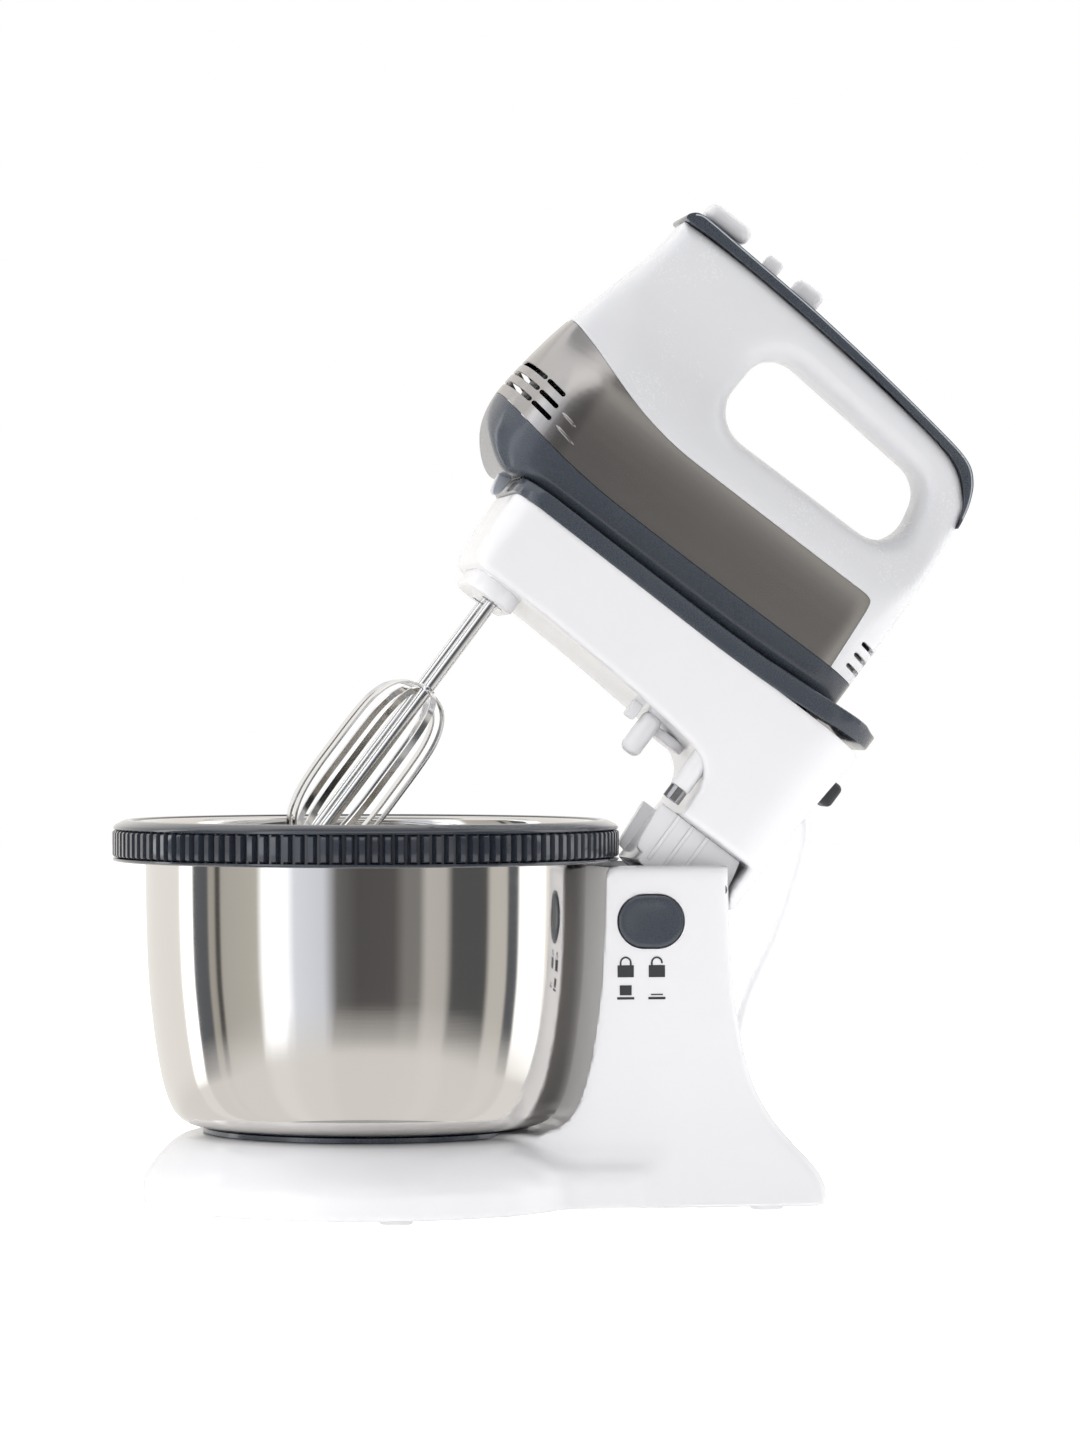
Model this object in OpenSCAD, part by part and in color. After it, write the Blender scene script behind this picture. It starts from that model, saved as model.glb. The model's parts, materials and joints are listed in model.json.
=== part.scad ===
// Mixer with its own stand: a hand mixer docked on a tilting head, over a bowl that turns.
// Origin: on the table, on the axis of the bowl. +X runs from the bowl to the tower, +Z is up.
// The head (carrier, mixer, beaters) is drawn closed and level, then tilted about the hinge pin.

/* [Head] */
// Angle that the head is tilted open
head_tilt = 37; // [37:1:37]
// Hinge axis, distance behind the bowl axis
hinge_x = 156; // [156:1:156]
// Hinge axis, height above the table
hinge_z = 144.7; // [144.7:0.1:144.7]
// Half width of the carrier
carrier_half = 44; // [43.5:0.1:44]

/* [Bowl] */
// Radius of the bowl under its ring
bowl_r = 100; // [99.5:0.1:100]
// Height of the bowl's underside above the table
bowl_z = 37; // [37:0.1:37.5]
// Thickness of the bowl's steel
bowl_t = 1; // [0.8:0.1:1.2]
// Outer radius of the toothed ring
ring_r = 115; // [114.5:0.1:115]
// Number of teeth round the ring
ring_teeth = 128; // [120:4:132]

/* [Stand] */
// Radius of the round platform
platform_r = 101; // [100:0.5:102]
// Height of the platform's top
platform_h = 34.4; // [34:0.1:34.4]
// Height of the tower
tower_h = 156.3; // [155.5:0.1:156.3]
// Half width of the tower
tower_half = 45; // [44.5:0.1:45.5]
// Wall thickness of the plastic shells
wall = 2.5; // [2.2:0.1:2.8]

/* [Mixer] */
// Half width of the mixer body
mixer_half = 39; // [38.5:0.1:39.5]
// Half width of the handle
handle_half = 18; // [17.5:0.1:18.5]
// Distance between the two beater axes
beater_pitch = 33; // [33:0.5:33]
// Radius of a beater cage
cage_r = 20.8; // [19:0.1:21]
// Radius of a beater shaft
shaft_r = 2.75; // [2.6:0.05:2.8]

/* [Cord] */
// Diameter of the mains cord
cord_d = 5; // [4.5:0.1:5.2]

/* [Hidden] */
gap = 0.3;
$fn = 96;
foot_h = 2.2;
feet = [[0, 0], [4, -86], [4, 86], [-84, 0], [178, -38], [178, 38]];
screws = [[-60, -50], [-60, 50], [60, -60], [60, 60], [150, -30], [150, 30]];
ring_lo = 157.3;
ring_hi = 176;
spindle_r = 4;
pin_r = 3;
run = 0.05;
button_x = 124;
button_z = 130.7;
beater_x = -2;
beater_y = beater_pitch / 2;
motor_z = 270;
wheel_z = motor_z;
worm_teeth = 18;
aux_x = 112;
aux_y = -beater_y;
drive_x = 114.4;
drive_y = -36.4;
drive_teeth = 8;
input_teeth = 31;
drive_module = norm([drive_x - aux_x, drive_y - aux_y]) * 2 / (drive_teeth + input_teeth);
sleeve_r = 6;
seat_z = 208;
nose_r = 35;

// outline of the platform, of the bowl and of the hollow front of the tower, radius and height
platform_out = [[0, foot_h], [platform_r, foot_h], [platform_r, 14], [99, 18], [94.5, 24],
    [89, 29.5], [83, 33.4], [79, platform_h], [0, platform_h]];
platform_in = [[0, -1], [platform_r - wall, -1], [platform_r - wall, 13], [96, 17], [92, 22],
    [87, 27], [81, 31], [78, platform_h - wall], [0, platform_h - wall]];
bowl_line = [[77, 0], [82, 1.6], [86, 5], [89.2, 11], [92, 20], [94.2, 31], [96.4, 46], [98.4, 66],
    [99.4, 90], [bowl_r, 120]];
cradle_gap = 12;
tower_side = [[30, foot_h], [203, foot_h], [204.5, 8], [203, 14], [198, 21.5], [190, 29.5],
    [180.5, 40.5], [172.5, 54], [167.5, 71], [164, 90], [161.8, 112], [160.6, 135],
    [160.2, tower_h], [30, tower_h]];
tower_front = [[54, 0], [51.5, 20], [48.8, 40], [46.8, 60], [tower_half + 0.4, 90],
    [tower_half, 125], [tower_half, 200]];

// outlines of the head, x and z with the head closed
trim_low = [[174.5, 237], [150, 234.4], [120, 232], [90, 231], [-26, 232.6]];
carrier_side = concat([[-26, 232.6], [-22.5, 200], [-19, 196], [36, 194.6], [84, 191.8],
    [100, 190.3], [109, 188.6], [116, 184.5], [120.2, 179], [121.5, 172], [121.5, 161.2],
    [161.4, 161.2], [161.4, 147], [166.6, 140], [168.6, 142.5], [168.8, 165], [169.6, 190],
    [171.4, 206], [173.2, 222]], [for (p = trim_low) if (p[0] > -20) p]);
trim_top = [[-26, 240], [90, 240], [120, 241], [150, 244], [167, 245.4], [174.5, 245]];
mixer_low = [[148, 244.2], [120, 241.4], [90, 240.4], [-27, 240.4], [-28.6, 237.5], [-33, 236.5],
    [-41, 240.5], [-49, 247.5], [-54, 254.5], [-57, 262.5], [-57.5, 269.3]];
mixer_front = [[-54.3, 289.5], [-51.7, 302.5], [-49.6, 317], [-46.3, 326], [-43.3, 337],
    [-40, 351], [-37.4, 365]];
handle_top = [[-35.4, 383.6], [-32.5, 386.4], [-27.5, 387.2], [-5.6, 386.1], [17.7, 385],
    [41, 383.6], [82.8, 379.6], [120, 375], [131, 373], [137.5, 370.2], [142.5, 365.2],
    [145.6, 360.4], [147, 356]];
handle_low = [[145.8, 355.8], [142, 359.4], [138, 363.2], [132.5, 367], [124, 370.1],
    [106, 373], [82.8, 376], [50.2, 378.5], [24.7, 380.2], [1.4, 381.3], [-21.9, 381.9],
    [-35.8, 380.6]];
mixer_rear = [[149, 339.5], [150.6, 321], [152, 305], [153, 275], [153, 247]];
section = [[33, 230], [36.5, 240], [mixer_half, 254], [mixer_half, 278], [37.4, 290],
    [33.5, 301], [28, 312], [23, 323], [19.5, 335], [handle_half, 348], [handle_half, 420]];
slate_line = [[-62, 270.5], [-50, 266], [-36, 262], [-20, 258.6], [-4, 256.7], [20, 255.6],
    [137, 256.2]];
steel_line = [[132, 292.3], [40, 291.7], [20, 292], [0, 295.5], [-20, 301.7], [-36, 308.4],
    [-49.5, 315.5], [-62, 320]];

// the mains cord's way from its strain relief to the coil, behind the tower
cord_route = [[206.6, 60, 238.4], [206.6, 65, 238.4], [207, 73, 235.4], [208, 80, 227.6],
    [209.8, 82.5, 217.5],
    [212.8, 82, 202], [216, 81, 184], [217.4, 80, 166.5], [215, 80, 152.3], [211.6, 80, 140.9],
    [207.8, 79.5, 128.6], [203.2, 79, 117.3], [197.9, 78, 106], [192.6, 77, 95.5], [187.6, 76.5, 82],
    [184, 77, 65], [182.2, 79.5, 48], [181.6, 84, 33], [181.5, 91.5, 21.5],
    [181.5, 101, 15], [181.5, 108, 13]];
relief = [140, 250];
relief_r = 4;
coil_at = [150, 112];
coil_r = 29;
coil_out = coil_r + 1.3 * cord_d;
coil_layers = 3;

white = [0.93, 0.93, 0.94];
slate = [0.27, 0.31, 0.36];
steel = [0.75, 0.74, 0.72];
dark = [0.16, 0.17, 0.19];

module head_pose() {
    translate([hinge_x, 0, hinge_z]) rotate([0, head_tilt, 0]) translate([-hinge_x, 0, -hinge_z])
        children();
}

// an outline in x and z, drawn right across the width
module slab(outline, half) {
    rotate([90, 0, 0]) linear_extrude(2 * half, center = true) polygon(outline);
}

// mirrored half widths and heights, drawn along x
module along(half_line, x0, x1) {
    n = len(half_line);
    pts = concat(half_line, [for (i = [n - 1:-1:0]) [-half_line[i][0], half_line[i][1]]]);
    translate([x0, 0, 0]) rotate([90, 0, 90]) linear_extrude(x1 - x0) polygon(pts);
}

// rounded rectangle seen from above
module plan(x0, x1, half, r0, r1, z0, z1) {
    translate([0, 0, z0]) linear_extrude(z1 - z0) {
        translate([x0 + r0, -half]) square([x1 - x0 - r0 - r1, 2 * half]);
        translate([x0, r0 - half]) square([r0 + 1, 2 * (half - r0)]);
        translate([x1 - r1 - 1, r1 - half]) square([r1 + 1, 2 * (half - r1)]);
        for (s = [-1, 1]) {
            translate([x0 + r0, s * (half - r0)]) circle(r0);
            translate([x1 - r1, s * (half - r1)]) circle(r1);
        }
    }
}

module disc(x, y, r, z0, z1) {
    translate([x, y, z0]) cylinder(h = z1 - z0, r = r);
}

module across(x, z, r, y0, y1) {
    translate([x, y0, z]) rotate([-90, 0, 0]) cylinder(h = y1 - y0, r = r);
}

module lengthwise(z, r, x0, x1) {
    translate([x0, 0, z]) rotate([0, 90, 0]) cylinder(h = x1 - x0, r = r);
}

module lengthwise_at(y, z, r, x0, x1) {
    translate([x0, y, z]) rotate([0, 90, 0]) cylinder(h = x1 - x0, r = r);
}

module box(x0, x1, y0, y1, z0, z1) {
    translate([x0, y0, z0]) cube([x1 - x0, y1 - y0, z1 - z0]);
}

// toothed outline: teeth with straight flanks
function cog(teeth, root, tip, duty, turn = 0) = [for (i = [0:teeth - 1], k = [0:3])
    let (a = 360 / teeth * (i + [-0.5, -0.3, 0.3, 0.5][k] * duty) + turn,
         r = (k == 0 || k == 3) ? root : tip)
    r * [cos(a), sin(a)]];

module gear(teeth, root, tip, duty, h, turn = 0) {
    linear_extrude(h) polygon(cog(teeth, root, tip, duty, turn));
}

// ---------- stand ----------

// the hollow that the bowl stands in, grown by d
module cradle(d = 0) {
    pts = [for (p = bowl_line) [p[0] + cradle_gap - d, bowl_z + p[1]]];
    rotate_extrude() polygon(concat([[0, platform_h - d], [pts[0][0] - 2, platform_h - d]], pts,
        [[bowl_r + cradle_gap - d, 200], [0, 200]]));
}

// concave curve on each side where the round platform runs into the tower
module neck(d, z0, z1) {
    cx = 96;
    cy = 96;
    r = 42 + d;
    translate([0, 0, z0]) linear_extrude(z1 - z0) difference() {
        polygon([[55, -84 + d], [96, -60], [96, 60], [55, 84 - d]]);
        for (s = [-1, 1]) translate([cx, s * cy]) circle(r);
    }
}

module tower(side, front) {
    intersection() {
        slab(side, 80);
        along(front, 20, 220);
    }
}

module stand_shell() color(white) {
    inner_side = [for (p = tower_side) [p[0] > 100 ? p[0] - wall : p[0], p[1] < 5 ? -1 : p[1]]];
    inner_front = [for (p = tower_front) [p[0] - wall, p[1]]];
    difference() {
        union() {
            rotate_extrude() polygon(platform_out);
            neck(0, foot_h, 16);
            difference() {
                tower(tower_side, tower_front);
                cradle();
            }
        }
        rotate_extrude() polygon(platform_in);
        neck(wall, -1, 16 - wall);
        difference() {
            tower([for (p = inner_side) [p[0], min(p[1], tower_h - wall)]], inner_front);
            cradle(-wall);
        }
        // open top for the tongue, and the slot for the hinge lugs in the rear wall
        difference() {
            box(100, hinge_x + 1.5, -38, 38, tower_h - 8, tower_h + 5);
            cradle(-wall);
        }
        box(hinge_x, 170, -36.5, 36.5, hinge_z - 6.4, tower_h + 5);
        across(hinge_x, hinge_z, pin_r, -43.5, 43.5);
        // button opening in the near wall
        translate([button_x, 0, button_z]) rotate([90, 0, 0])
            linear_extrude(60) oval(15 + gap, 12 + gap);
        disc(0, 0, spindle_r, platform_h - 10, platform_h + 5);
        for (s = screws) disc(s[0], s[1], 1.6, 0, 5);
    }
    // hinge pin bosses inside the side walls
    for (s = [-1, 1]) difference() {
        intersection() {
            across(hinge_x, hinge_z, 6.5, s > 0 ? 36.8 : -42.6, s > 0 ? 42.6 : -36.8);
            slab(tower_side, 80);
        }
        across(hinge_x, hinge_z, pin_r, -43.5, 43.5);
    }
}

module oval(half_x, half_z) {
    for (s = [-1, 1]) translate([s * (half_x - half_z), 0]) circle(half_z);
    square([2 * (half_x - half_z), 2 * half_z], center = true);
}

module base_plate() color(white) difference() {
    union() {
        disc(0, 0, platform_r - wall - 0.2, foot_h, foot_h + 2.2);
        box(60, 199.5, -51, 51, foot_h, foot_h + 2.2);
    }
    for (s = screws) disc(s[0], s[1], 1.6, 0, 6);
    for (a = [0:30:330]) rotate(a) translate([60, 0, 0]) box(-10, 10, -1.5, 1.5, 0, 6);
    disc(0, 0, spindle_r, 0, 6);
}

module base_feet() color(dark) for (f = feet) disc(f[0], f[1], 7.5, 0, foot_h);

module base_screws() color(steel) for (s = screws) {
    disc(s[0], s[1], 1.6, foot_h - 0.6, foot_h + 6);
    disc(s[0], s[1], 3, foot_h - 1.4, foot_h);
}

module turntable_spindle() color(steel) {
    disc(0, 0, spindle_r, foot_h, platform_h + 2);
    disc(0, 0, 7, foot_h + 2.2, foot_h + 4.2);
}

module turntable() color(slate) difference() {
    union() {
        disc(0, 0, 74, platform_h + gap, bowl_z - gap);
        for (a = [0:120:240]) rotate(a) disc(40, 0, 3, bowl_z - 1, bowl_z + 0.6);
    }
    disc(0, 0, spindle_r + run, 0, 60);
}

module bowl() color(steel) difference() {
    n = len(bowl_line);
    top = ring_hi - bowl_z - 0.8;
    rotate_extrude() polygon(concat([[0, bowl_z]], [for (p = bowl_line) [p[0], p[1] + bowl_z]],
        [[bowl_r, ring_lo], [bowl_r, top + bowl_z - 2], [bowl_r + 6, top + bowl_z - 2],
         [bowl_r + 6, top + bowl_z - 1], [bowl_r - 1, top + bowl_z]],
        [[bowl_r - bowl_t, ring_lo]],
        [for (i = [n - 1:-1:0]) [bowl_line[i][0] - bowl_t, max(bowl_line[i][1] + 0.4, bowl_t) + bowl_z]],
        [[0, bowl_z + bowl_t]]));
    for (a = [0:120:240]) rotate(a) disc(40, 0, 3.3, bowl_z - 1, bowl_z + 0.9 - gap);
}

module bowl_ring() color(slate) {
    tooth = 3;
    rotate_extrude() polygon([[bowl_r, ring_lo], [ring_r, ring_lo], [ring_r, ring_lo + 1.4],
        [ring_r - tooth, ring_lo + 1.4], [ring_r - tooth, ring_hi - 4], [ring_r - 0.6, ring_hi - 4],
        [ring_r - 1.2, ring_hi - 2.4], [ring_r - 5.5, ring_hi], [bowl_r + 6.1, ring_hi],
        [bowl_r + 6.1, ring_hi - 2.9], [bowl_r, ring_hi - 2.9]]);
    translate([0, 0, ring_lo + 1]) linear_extrude(ring_hi - ring_lo - 4.6) difference() {
        polygon(cog(ring_teeth, ring_r - tooth - 0.5, ring_r - 0.8, 0.62));
        circle(ring_r - tooth - 1.5);
    }
}

module hinge_pin() color(steel) across(hinge_x, hinge_z, pin_r, -43.5, 43.5);

module release_button() color(slate) {
    translate([button_x, -tower_half - 1.6, button_z]) rotate([-90, 0, 0])
        linear_extrude(6) oval(15, 12);
    across(button_x, button_z - 4, 4, -tower_half + 4, -32);
}

// bar behind the button that carries the latch nose beside the tongue
module latch_bar() color(dark) difference() {
    union() {
        box(button_x - 6, button_x + 6, -32, -30.5, button_z - 14, button_z + 2);
        across(button_x, button_z - 4, 5, -34, -30.5);
    }
    across(button_x, button_z - 4, 4, -40, -32);
}

module release_spring() color(steel) difference() {
    across(button_x, button_z - 10, 3, -30.5, -10);
    across(button_x, button_z - 10, 2.2, -31, -9);
}

// bracket that the release spring pushes against, fixed in the tower
module spring_bracket() color(dark) {
    box(button_x - 6, button_x + 6, -10, -7, foot_h + 2.2, button_z - 4);
    box(button_x - 6, button_x + 6, -10, 10, foot_h + 2.2, foot_h + 5);
}

// ---------- head carrier ----------

module opening_frame(d) {
    plan(-26 + d, 175 - d, carrier_half - d, 14, 28, 100, 300);
}

module carrier_shell() color(white) head_pose() {
    inner = [[-23.5, 240], [-20, 200], [-18, 198.5], [36, 197.1], [84, 194.3], [100, 192.8],
        [110.5, 190.8], [118, 186], [122.7, 180], [124, 172], [124, 163.7], [166, 163.7],
        [167, 190], [168.8, 206], [171, 240]];
    difference() {
        intersection() {
            slab(carrier_side, 60);
            opening_frame(0);
        }
        intersection() {
            slab(inner, 60);
            opening_frame(wall);
        }
        // beater opening in the front of the floor, bores for the drive shaft
        plan(-17, 7.5, 29.5, 11.5, 11.5, 190, 201);
        disc(drive_x, drive_y, 5.2, 180, 200);
        // slot for the release button in the rear wall
        box(160, 180, -9.3, 9.3, 206.7, 219.3);
    }
}

module carrier_trim() color(slate) head_pose() difference() {
    intersection() {
        slab(concat(trim_top, trim_low), 60);
        opening_frame(-0.6);
    }
    // openings for the spindle housing, the drive coupling and the catch
    plan(-20, 18, 31, 10, 10, 220, 260);
    disc(aux_x, aux_y, 8, 220, 260);
    box(136, 150, -6, 6, 220, 260);
    carrier_screw_set();
}

module beater_collar() color(white) head_pose() difference() {
    plan(-17, 7.5, 29.5, 11.5, 11.5, 187.6, 201);
    for (s = [-1, 1]) disc(beater_x, s * beater_y, 9.5, 191, 210);
    for (s = [-1, 1]) disc(beater_x, s * beater_y, 5.4, 180, 210);
}

module hinge_tongue() color(white) head_pose() {
    cheek = [[113.2, 161.2], [114.3, 150], [115.4, 139.5], [119.5, 138.5], [119.5, 133.5],
        [130, 133.5], [146, 138.5], [152, 140], [160.5, 146], [160.5, 150], [158, 161.2]];
    difference() {
        union() {
            for (s = [-1, 1]) {
                y0 = s > 0 ? 24 : -29;
                intersection() {
                    slab(cheek, 60);
                    box(100, 170, y0, y0 + 5, 120, 161.2);
                }
                across(hinge_x, hinge_z, 5.6, s > 0 ? 24 : -35.5, s > 0 ? 35.5 : -24);
            }
            box(119.5, 123, -24, 24, 136, 161.2);
            box(131, 133, -24, 24, 141, 161.2);
            box(141, 143, -24, 24, 146, 161.2);
        }
        across(hinge_x, hinge_z, pin_r + run, -50, 50);
    }
}

module guide_finger() color(white) head_pose() difference() {
    union() {
        translate([88.6, -14, 175]) {
            cylinder(h = 20, r = 5);
            sphere(5);
        }
        box(76.4, 81.6, -17, -11, 184, 195);
    }
    slab(carrier_side, 60);
}

module drive_housing() color(white) head_pose() difference() {
    union() {
        disc(drive_x, drive_y, 4.8, 170.6, 200);
        difference() {
            disc(101, -3, 9, 185, 194);
            slab(carrier_side, 60);
        }
    }
    disc(drive_x, drive_y, 2.5 + run, 160, 210);
}

module drive_shaft() color(dark) head_pose() {
    disc(drive_x, drive_y, 2.5, 170.4, 201);
    translate([drive_x, drive_y, 164]) gear(6, 3.1, 4.3, 0.5, 6.4);
    turn = atan2(aux_y - drive_y, aux_x - drive_x) + 180 / drive_teeth;
    r = drive_module * drive_teeth / 2;
    translate([drive_x, drive_y, 201]) gear(drive_teeth, r - 1, r + 0.55, 0.36, 6, turn);
    disc(drive_x, drive_y, 2, 207, 222);
}

module input_gear() color(white) head_pose() {
    turn = atan2(drive_y - aux_y, drive_x - aux_x);
    r = drive_module * input_teeth / 2;
    translate([aux_x, aux_y, 201.5]) gear(input_teeth, r - 0.9, r + 0.55, 0.36, 5, turn);
    disc(aux_x, aux_y, 3, 196.4, 236);
    translate([aux_x, aux_y, 236]) rotate(45) cylinder(h = 9, r = 4.4, $fn = 4);
}

module gear_plate() color(dark) head_pose() difference() {
    plan(84, 124, 41, 4, 4, 222, 225);
    disc(aux_x, aux_y, 3 + run, 200, 250);
    disc(drive_x, drive_y, 2 + run, 200, 250);
}

module mixer_release_button() color(dark) head_pose() {
    box(166, 180, -9, 9, 207, 219);
    box(141, 166, -4, 4, 211, 215);
    box(141, 145, -4, 4, 215, 240);
    box(138.5, 145, -4, 4, 240, 243);
}

module mixer_release_spring() color(steel) head_pose() difference() {
    translate([150, 0, 213]) rotate([0, 90, 0]) cylinder(h = 14, r = 6.5);
    translate([149, 0, 213]) rotate([0, 90, 0]) cylinder(h = 16, r = 5.8);
}

module spring_rib() color(white) head_pose() difference() {
    box(147.5, 150, -12, 12, 163.7, 222);
    box(140, 160, -5, 5, 208, 218);
}

module carrier_screw_set() for (x = [26, 60], s = [-1, 1]) {
    disc(x, s * 30, 1.6, 225, 239.4);
    disc(x, s * 30, 3, 239, 240.1);
}

module carrier_screws() color(steel) head_pose() carrier_screw_set();

// ---------- hand mixer ----------

function reversed(pts) = [for (i = [len(pts) - 1:-1:0]) pts[i]];
function nose_in(pts, d) = [for (p = pts) p[0] < -39 ? [p[0] + d, p[1]] : p];

// the whole mixer's outer form under the handle trim, its sides and nose drawn in by d
module mixer_form(d) {
    side = concat(nose_in(mixer_low, d), nose_in(mixer_front, d), reversed(handle_low), mixer_rear);
    intersection() {
        slab(side, 60);
        along([for (p = section) [p[0] - d, p[1]]], -70, 160);
        plan(-57.5 + d, 153 - d, mixer_half - d, nose_r, 24, 220, 420);
    }
}

module above_line(line) {
    slab(concat(line, [[200, line[len(line) - 1][1]], [200, 450], [-90, 450], [-90, line[0][1]]]), 70);
}

module steel_zone() {
    slab(concat(slate_line, steel_line), 70);
}

module handle_hole() {
    corners = [[46, 342.4, 16.6], [113.5, 338.6, 15.8], [113.5, 331, 16.4], [46.2, 331.4, 16.8]];
    hull() for (c = corners) translate([c[0], 0, c[1]]) rotate([90, 0, 0])
        cylinder(h = 100, r = c[2], center = true, $fn = 32);
}

// nose slots, three on each side, sloping down towards the back
module nose_slots() {
    for (i = [0:2]) translate([-58, 0, 285 - 6.4 * i]) rotate([0, 12, 0]) {
        box(0, 24 + 5 * i, -50, -6, -1.1, 1.1);
        box(0, 24 + 5 * i, 6, 50, -1.1, 1.1);
    }
}

module rear_slots() {
    for (i = [0:2], s = [-1, 1]) box(142, 158, s * 30 - 8, s * 30 + 8, 260 + 6 * i, 262.3 + 6 * i);
}

module body_shape() {
    difference() {
        union() {
            difference() {
                mixer_form(0);
                steel_zone();
            }
            intersection() {
                mixer_form(1.05);
                steel_zone();
            }
        }
        mirror([0, 0, 1]) translate([0, 0, -520]) above_line([for (p = slate_line) [p[0], 520 - p[1]]]);
        handle_hole();
        // room for the motor, and the hollows in the columns and the handle
        intersection() {
            mixer_form(wall + 1);
            box(-60, 149, -40, 40, 240, 300);
        }
        box(-26, 20, -13, 13, 299, 374);
        box(18, 112, -11, 11, 363, 370);
        box(134, 141, -11, 11, 298, 358);
        box(-20.3, -12.7, -4.3, 4.3, 370, 390);
        nose_slots();
        rear_slots();
        body_screw_set();
    }
}

module body_half(s) {
    intersection() {
        body_shape();
        box(-90, 190, s > 0 ? 0 : -60, s > 0 ? 60 : 0, 220, 420);
    }
}

module body_left() color(white) head_pose() body_half(1);
module body_right() color(white) head_pose() body_half(-1);

module steel_band() color(steel) head_pose() difference() {
    intersection() {
        difference() {
            mixer_form(0);
            mixer_form(1);
        }
        steel_zone();
    }
    nose_slots();
}

module lower_body() color(slate) head_pose() difference() {
    union() {
        difference() {
            mixer_form(0);
            above_line(slate_line);
            intersection() {
                mixer_form(wall);
                box(-60, 150.5, -40, 40, 243.2, 290);
            }
        }
        for (s = [-1, 1]) disc(beater_x, s * beater_y, 9, 212, 246);
        box(-4.5, 0.5, -beater_y, beater_y, 214, 241);
        for (x = [40, 58]) box(x, x + 4, -20, 20, 243, motor_z - 24);
        slab([[-28, 240], [-28, 229], [-32, 228.5], [-34, 240]], 3);
    }
    for (s = [-1, 1]) disc(beater_x, s * beater_y, sleeve_r + gap, 200, 260);
    disc(aux_x, aux_y, 7.3, 236, 246);
    box(136, 147.5, -5, 5, 236, 246);
    across(relief[0], relief[1], relief_r, 20, 50);
}

module handle_trim() color(slate) head_pose() difference() {
    slab(concat(handle_top, handle_low), handle_half + 0.7);
    box(-30.4, -5.9, -9.4, 9.4, 370, 400);
    box(4.3, 13.7, -12.6, 12.6, 383, 400);
    box(22.6, 38.4, -7.4, 7.4, 381.8, 400);
}

module eject_button() color(white) head_pose() {
    box(-30, -6.3, -9, 9, 389.3, 397.4);
    box(-20, -13, -4, 4, 291, 389.5);
    box(-20, 1, -19.5, 19.5, 287, 291);
    for (s = [-1, 1]) disc(beater_x, s * beater_y, 2.2, 233.5, 288);
}

module eject_spring() color(steel) head_pose() difference() {
    disc(-16.5, 0, 6.8, 382.1, 389.2);
    disc(-16.5, 0, 5.9, 381, 391);
}

module speed_slider() color(white) head_pose() box(4.7, 13.3, -12.2, -3.8, 383.3, 393.2);

module turbo_button() color(white) head_pose() box(23, 38, -7, 7, 384.8, 394.2);

module turbo_spring() color(steel) head_pose() difference() {
    disc(30.5, 0, 4, 381.9, 384.7);
    disc(30.5, 0, 3.2, 381, 386);
}

// worm: one thread wound on a core that is bored for the shaft
wheel_r = beater_y - 4.3;
worm_pitch = 2 * PI * wheel_r / worm_teeth;

module worm(x) {
    turns = 3;
    h = turns * worm_pitch;
    lobe = [for (a = [0:15:345]) let (r = abs(a - 180) < 62 ? 5.1 : 3.3) r * [cos(a), sin(a)]];
    translate([x, 0, motor_z]) rotate([0, 90, 0]) difference() {
        translate([0, 0, -h / 2]) rotate(90 - 360 * turns / 2)
            linear_extrude(h, twist = -360 * turns, slices = 16 * turns, $fn = 24) polygon(lobe);
        translate([0, 0, -h]) cylinder(h = 2 * h, r = 2.5, $fn = 24);
    }
}

module motor_worms() color(dark) head_pose() {
    worm(beater_x);
    worm(aux_x);
}

module motor_rotor() color(steel) head_pose() {
    lengthwise(motor_z, 2.5, -24, 130);
    lengthwise(motor_z, 14.4, 36, 66);
    lengthwise(motor_z, 8.5, 74, 84);
}

module motor_fan() color(dark) head_pose() difference() {
    union() {
        lengthwise(motor_z, 20, 90, 92);
        lengthwise(motor_z, 6, 88, 99);
        for (a = [0:40:320]) translate([92, 0, motor_z]) rotate([a, 0, 0]) box(0, 6, -0.8, 0.8, 4, 20);
    }
    lengthwise(motor_z, 2.5, 80, 110);
}

module motor_stator() color(steel) head_pose() difference() {
    box(36, 66, -24, 24, motor_z - 24, motor_z + 24);
    lengthwise(motor_z, 15, 30, 70);
}

module motor_coils() color([0.72, 0.42, 0.2]) head_pose() for (x = [29, 66]) difference() {
    lengthwise(motor_z, 22, x, x + 7);
    lengthwise(motor_z, 15, x - 1, x + 8);
}

module brush_holders() color(dark) head_pose() for (s = [-1, 1])
    box(76, 82, s > 0 ? 8.8 : -22, s > 0 ? 22 : -8.8, motor_z - 3, motor_z + 3);

module gearbox_frame() color(steel) head_pose() difference() {
    union() {
        box(-22, 24, -27, 27, 247, 259);
        box(-22, -17, -8, 8, 259, motor_z + 8);
        box(17, 22, -8, 8, 259, motor_z + 8);
    }
    for (s = [-1, 1]) disc(beater_x, s * beater_y, sleeve_r + run, 240, 262);
    lengthwise(motor_z, 2.5 + run, -30, 30);
}

module rear_bracket() color(steel) head_pose() difference() {
    union() {
        box(100, 128, -26, 12, 252, 260);
        box(122, 128, -8, 8, 244, motor_z + 8);
    }
    disc(aux_x, aux_y, 4 + run, 240, 262);
    lengthwise(motor_z, 2.5 + run, 100, 140);
}

module wheel(x, y, turn) {
    translate([x, y, wheel_z - 2.5]) gear(worm_teeth, wheel_r - 1.15, wheel_r + 0.75, 0.3, 5, turn);
}

module spindle(s) {
    difference() {
        union() {
            disc(beater_x, s * beater_y, sleeve_r, seat_z, wheel_z - 2.5);
            wheel(beater_x, s * beater_y, s > 0 ? -90 : 90 + 180 / worm_teeth);
        }
        disc(beater_x, s * beater_y, shaft_r + run, 200, 234);
        disc(beater_x, s * beater_y, 2.9, 233, 280);
    }
}

module spindle_left() color(dark) head_pose() spindle(1);
module spindle_right() color(dark) head_pose() spindle(-1);

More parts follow.
